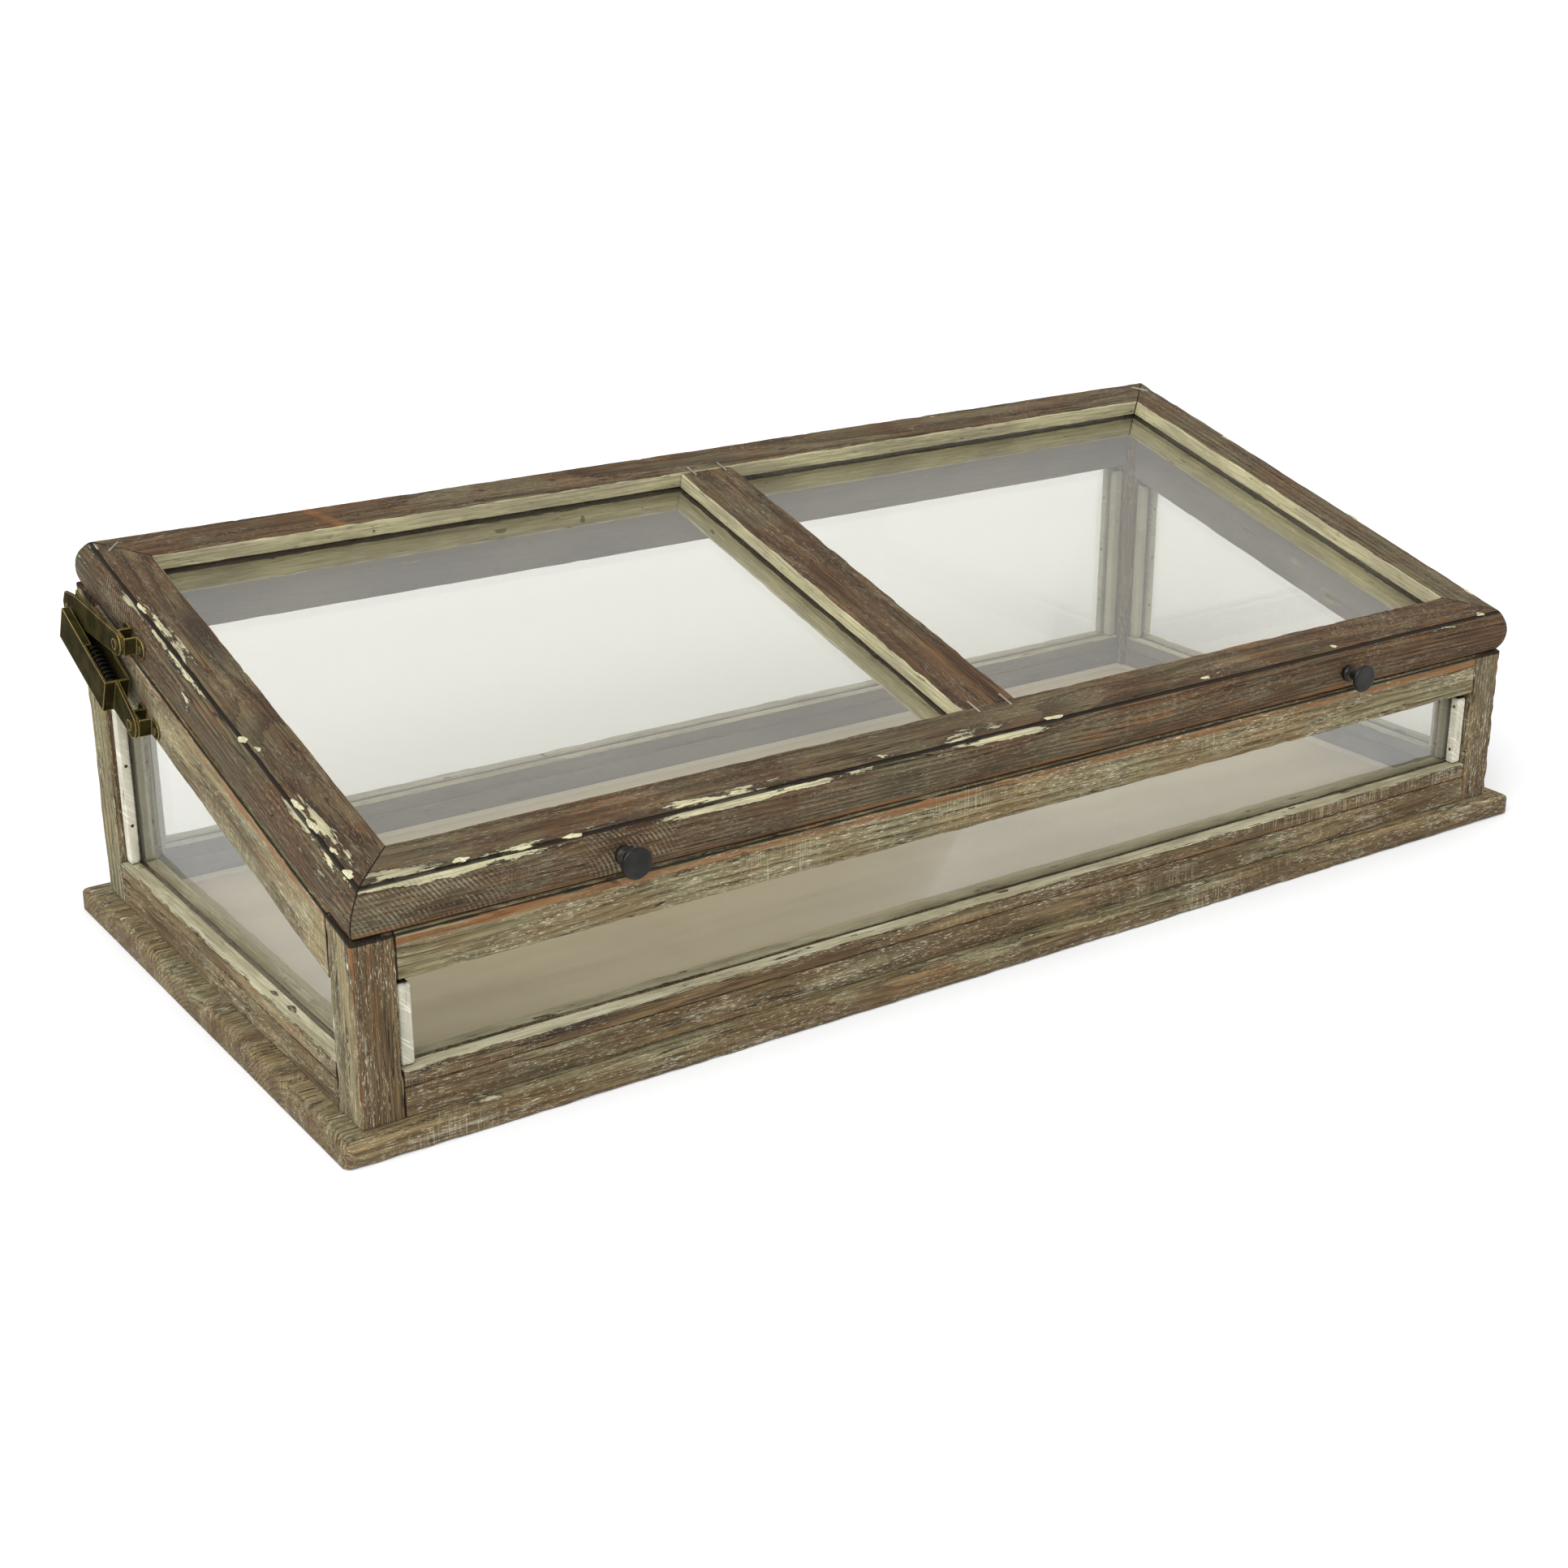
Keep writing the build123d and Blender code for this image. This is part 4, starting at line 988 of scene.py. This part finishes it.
def lid_coat(nose_paint, top_paint, quirk_paint, rub, rippled, crusted=((0.0, 9.0),), scuffed=()):
    """Where old paint holds on a lid member, where it is rubbed bare and where the plane left ripples.

    Paint: over the face above the glass, in a crust on the nose's side of the quirk, in places on the
    nose and the top. Bare wood: the lower nose, the quirk's edge and the inner arris. rippled gives the
    middles and half widths, along the member, of the rippled stretches, crusted those of the stretches
    where the paint is thickest, and scuffed those of the scuffs across it. Where crusted names more than
    one, the thick paint also spreads over the top as a patch."""
    patched = 0.52 * (len(crusted) > 1)

    def coat(p, q, distance):
        edge_face = eased(p, LID_WIDTH - 1.2 * MM, LID_WIDTH - 0.5 * MM)
        above = edge_face * eased(q, LID_GROOVE_LOW, LID_GROOVE_LOW + GROOVE)
        upper = eased(q, LID_THICKNESS - 7 * MM, LID_THICKNESS - 5 * MM)
        crust = bell(p - QUIRK_INSET + 1.6 * MM, 2.6 * MM) * upper
        beside = 0.4 * bell(p - QUIRK_INSET - 5 * MM, 4 * MM) * upper
        on_nose = eased(p, QUIRK_INSET, QUIRK_INSET - 2 * MM)
        top = eased(q, LID_THICKNESS - 2 * MM, LID_THICKNESS - 1.2 * MM) * top_paint
        thick = stretches(distance, crusted)
        crust = crust * quirk_paint * (0.38 + 0.62 * thick)
        patch = patched * upper * thick * eased(p, 28 * MM, 14 * MM)
        held = np.maximum.reduce([above, crust, beside * quirk_paint, patch, on_nose * nose_paint, top])
        below = edge_face * eased(q, LID_GROOVE_LOW + 0.5 * MM, LID_GROOVE_LOW - 1 * MM)
        low_nose = bell(q - 3 * MM, 3.5 * MM) * on_nose
        quirk_edge = 0.5 * bell(p - QUIRK_INSET + 5 * MM, 2.5 * MM) * upper
        inner_arris = 0.5 * bell(p - LID_WIDTH, 3 * MM) * upper
        bare = rub * np.maximum.reduce([low_nose, quirk_edge, inner_arris])
        scuff = stretches(distance + p * 0.5, scuffed)
        return {
            "held": held * (1 - below) + below * 0.9,
            "bare": np.maximum(bare, 1.1 * scuff * upper),
            "ripple": on_nose * stretches(distance, rippled),
            # painted shade: a dark strip on the underside next to the nose, where the gap under the lid
            # lies in shadow
            "soot": eased(q, 2.2 * MM, 0.6 * MM) * eased(p, 12 * MM, 10 * MM),
        }

    return coat


def lid_frame():
    """Two rails and two stiles of one section; a mitre takes a point's distance in off its length."""
    section = lid_section()
    front = lid_coat(
        nose_paint=0.16, top_paint=0.08, quirk_paint=0.78, rub=0.9, rippled=((-0.48, 0.05), (-0.33, 0.03)),
        crusted=((-0.47, 0.07), (-0.25, 0.09), (-0.03, 0.05)),
    )
    rear = lid_coat(
        nose_paint=0.22, top_paint=0.12, quirk_paint=0.5, rub=0.5, rippled=((0.1, 0.08),),
        scuffed=((SCUFF_PLACE, 8 * MM),),
    )
    left = lid_coat(
        nose_paint=0.26, top_paint=-0.1, quirk_paint=0.72, rub=0.9, rippled=((-0.16, 0.03),),
        crusted=((0.17, 0.06), (-0.08, 0.08), (-0.235, 0.02)),
    )
    right = lid_coat(nose_paint=0.14, top_paint=0.08, quirk_paint=0.5, rub=0.5, rippled=())
    for edge, half, seed, coat, tone in (
        ("front_rail", HALF_LENGTH, 200, front, 0.55),
        ("rear_rail", HALF_LENGTH, 210, rear, 0.6),
        ("left_stile", SLOPE_LENGTH / 2, 220, left, 0.5),
        ("right_stile", SLOPE_LENGTH / 2, 230, right, 0.7),
    ):
        node = f"lid_{edge}"
        board = carried(
            section, (*LID_EDGES[edge], OFF_SLOPE), (-half, 1.0, 0.0), (half, -1.0, 0.0), seed,
            coat=coat, station=3.5 * MM, tone=tone, limewash=0.55,
        )
        piece(f"worn_{node}", "lid", [node], [board], LID_TIMBER)


def paint_flakes():
    """Thick flakes of old paint that cling beside the lid's quirks.

    A flake is a low lens: around the angle a its rim lies at half its length and width times one plus
    waves of a; from crown to rim the height falls as the square root of one less the share squared, and
    the underside is flat, sunk a little into the wood."""
    scatter = np.random.default_rng(310)
    angle = np.linspace(0, 2 * math.pi, 25)[:-1]
    share = np.array([0.06, 0.3, 0.55, 0.78, 0.93, 1.0, 0.9, 0.5, 0.06])
    underside = [-0.3 * MM, -0.5 * MM, -0.5 * MM]
    crown_rows = len(share) - len(underside)
    sunk = 1.0 * MM
    stands = 1.0 * MM
    flakes = []
    for edge, centres in (
        ("front_rail", (-0.452, -0.41, -0.372, -0.245, -0.12, 0.035, 0.19, 0.33, 0.5)),
        ("left_stile", (-0.13, -0.115, 0.055, 0.07, 0.14, 0.165, 0.195, 0.22)),
        ("right_stile", (-0.2, -0.06, 0.11)),
    ):
        origin, along, across = LID_EDGES[edge]
        for centre in centres:
            half_long = scatter.uniform(3, 9) * MM
            half_wide = scatter.uniform(1.6, 3.0) * MM
            crown = scatter.uniform(0.9, 1.6) * MM
            inset = QUIRK_INSET + scatter.uniform(0.5, 6) * MM
            phase = scatter.uniform(0, 2 * math.pi, 3)
            rim = 1 + 0.22 * np.sin(2 * angle + phase[0]) + 0.12 * np.sin(5 * angle + phase[1])
            height = np.append(crown * np.sqrt(1 - share[:crown_rows] ** 2), underside)
            ripple = 1 + 0.25 * np.sin(3 * angle + phase[2])
            s = share[:, None] * rim * half_long * np.cos(angle)
            t = share[:, None] * rim * half_wide * np.sin(angle)
            lift = height[:, None] * np.where(height[:, None] > 0, ripple, 1)
            lift = np.minimum(LID_THICKNESS - sunk + lift, LID_THICKNESS + stands)
            points = origin + (centre + s)[..., None] * along + (inset + t)[..., None] * across
            points = points + lift[..., None] * OFF_SLOPE
            index = np.arange(share.size * angle.size).reshape(share.size, angle.size)
            on = np.roll(index, -1, 1)
            quads = np.stack([index[:-1], index[1:], on[1:], on[:-1]], -1).reshape(-1, 4)
            caps = [index[0].tolist(), index[-1, ::-1].tolist()]
            none = 0 * s
            stores = {
                "grain": (centre + s, t, none),
                "coat": (none + 0.2, none, none),
                # painted shade: the flakes' undersides get the dark soot-and-shade mark
                "marks": (none + (height[:, None] < 0), none, none),
            }
            stores = {k: np.stack(v, -1).reshape(-1, 3) for k, v in stores.items()}
            flakes.append((points.reshape(-1, 3), quads, caps, stores))
    piece("paint_flakes", "lid", [], flakes, CRUSTED_PAINT, 60)


def lid_centre_bar():
    """The bar between the panes: flat, grooved both sides, a little lower than the frame."""
    half = BAR_WIDTH / 2
    right = grooved_side(half, LID_THICKNESS - BAR_DROP)
    left = [(-p, q) for p, q in right[::-1]]
    radii = [0.8 * MM, 0.5 * MM, 0, 0, 0.5 * MM, 1.4 * MM]
    worn = [0.4, 0.2, 0, 0, 0.3, 1.0]
    section = Section(right + left, radii + radii[::-1], worn + worn[::-1], run=2.2 * MM)

    def coat(p, q, distance):
        side = eased(np.abs(p), half - 1.2 * MM, half - 0.5 * MM)
        above = side * eased(q, LID_GROOVE_LOW, LID_GROOVE_LOW + GROOVE)
        below = side * (1 - eased(q, LID_GROOVE_LOW - 1 * MM, LID_GROOVE_LOW + 0.5 * MM))
        return {"held": np.maximum(above, 0.16) * (1 - below) + 0.9 * below}

    reach = SLOPE_LENGTH / 2 - LID_WIDTH
    place = (LID_MIDDLE, UP_SLOPE, -AXIS_X, OFF_SLOPE)
    board = carried(
        section, place, *flat(-reach, reach), 240, coat=coat, station=3.5 * MM, limewash=0.6,
    )
    piece("worn_lid_centre_bar", "lid", ["lid_centre_bar"], [board], LID_TIMBER)


# ------------ the frame's own shapes
def dress(finish, *names):
    """Gives a finish to nodes that keep their frame shape; a name may be the start of several."""
    for node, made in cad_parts.items():
        if node.startswith(names):
            made.data.materials.clear()
            made.data.materials.append(finish)


# ------------ studio
def studio():
    """A wide pale floor, a pale room and two large soft lights."""
    floor_mesh = bpy.data.meshes.new("studio_floor")
    reach = 40.0
    drop = -0.5 * MM
    corners = [(x, y, drop) for x, y in rectangle((-reach, reach), (-reach, reach))]
    floor_mesh.from_pydata(corners, [], [(0, 1, 2, 3)])
    f = Finish("studio_floor")
    place = f.object_place()
    cloud = f.noise(f.stretched(place, 0.6, 0.6, 0.6), 2.0)
    colour = f.mix(cloud, (0.91, 0.925, 0.95, 1.0), (0.93, 0.945, 0.97, 1.0))
    matt = {"Base Color": colour, "Roughness": 0.9, "Specular IOR Level": 0.0}
    floor_mesh.materials.append(f.skin(matt))
    floor = placed("studio_floor", floor_mesh)

    room = bpy.data.worlds.new("pale_room")
    room.use_nodes = True
    sky = room.node_tree.nodes["Background"]
    sky.inputs["Color"].default_value = (1.0, 0.985, 0.96, 1.0)
    sky.inputs["Strength"].default_value = 0.93
    bpy.context.scene.world = room

    centre = Vector((0.0, 0.0, 0.15))
    for name, kind, spot, size, power in (
        ("window", "SUN", (-2.4, -0.9, 2.0), math.radians(50), 1.5),
        ("key", "AREA", (-1.6, -2.2, 2.4), 1.6, 30.0),
    ):
        light = bpy.data.lights.new(name, kind)
        light.energy = power
        if kind == "SUN":
            light.angle = size
        else:
            light.shape = "DISK"
            light.size = size
        lamp = placed(name, light)
        lamp.location = spot
        lamp.rotation_euler = (centre - Vector(spot)).to_track_quat("-Z", "Y").to_euler()


def camera():
    """A camera above the left front, looking down along the diagonal."""
    spot = Vector((-1.0629, -1.5055, 0.7723))
    yaw = math.radians(34.07)
    pitch = math.radians(20.96)
    roll = 0.0015
    data = bpy.data.cameras.new("camera")
    data.lens = 54.86
    data.sensor_width = 36.0
    data.clip_end = 200.0
    made = placed("camera", data)
    made.location = spot
    made.rotation_euler = (math.pi / 2 - pitch, roll, -yaw)
    bpy.context.scene.camera = made
    bpy.context.scene.view_settings.view_transform = "Standard"


camera()
studio()
base_boards()
posts()
walls()
beads()
lid_frame()
lid_centre_bar()
paint_flakes()
dress(PLY, "floor_panel")
dress(GLASS, "glass_", "lid_glass_")
dress(BRASS, "stay_")
dress(SPRING, "stay_spring")
dress(AGED_STEEL, "hinge_", "stay_body_screws", "stay_lid_screws", "bead_pins")
for node, body, width in (
    ("stay_channel", "channel", 0.6 * MM),
    ("stay_arm", "arm", 0.6 * MM),
    ("stay_body_bracket", "body", 0.7 * MM),
    ("stay_lid_bracket", "lid", 0.7 * MM),
):
    softened(node, body, BRASS, width)
dress(BRONZE, "knob_")
dress(DULL_STEEL, "lid_staples")
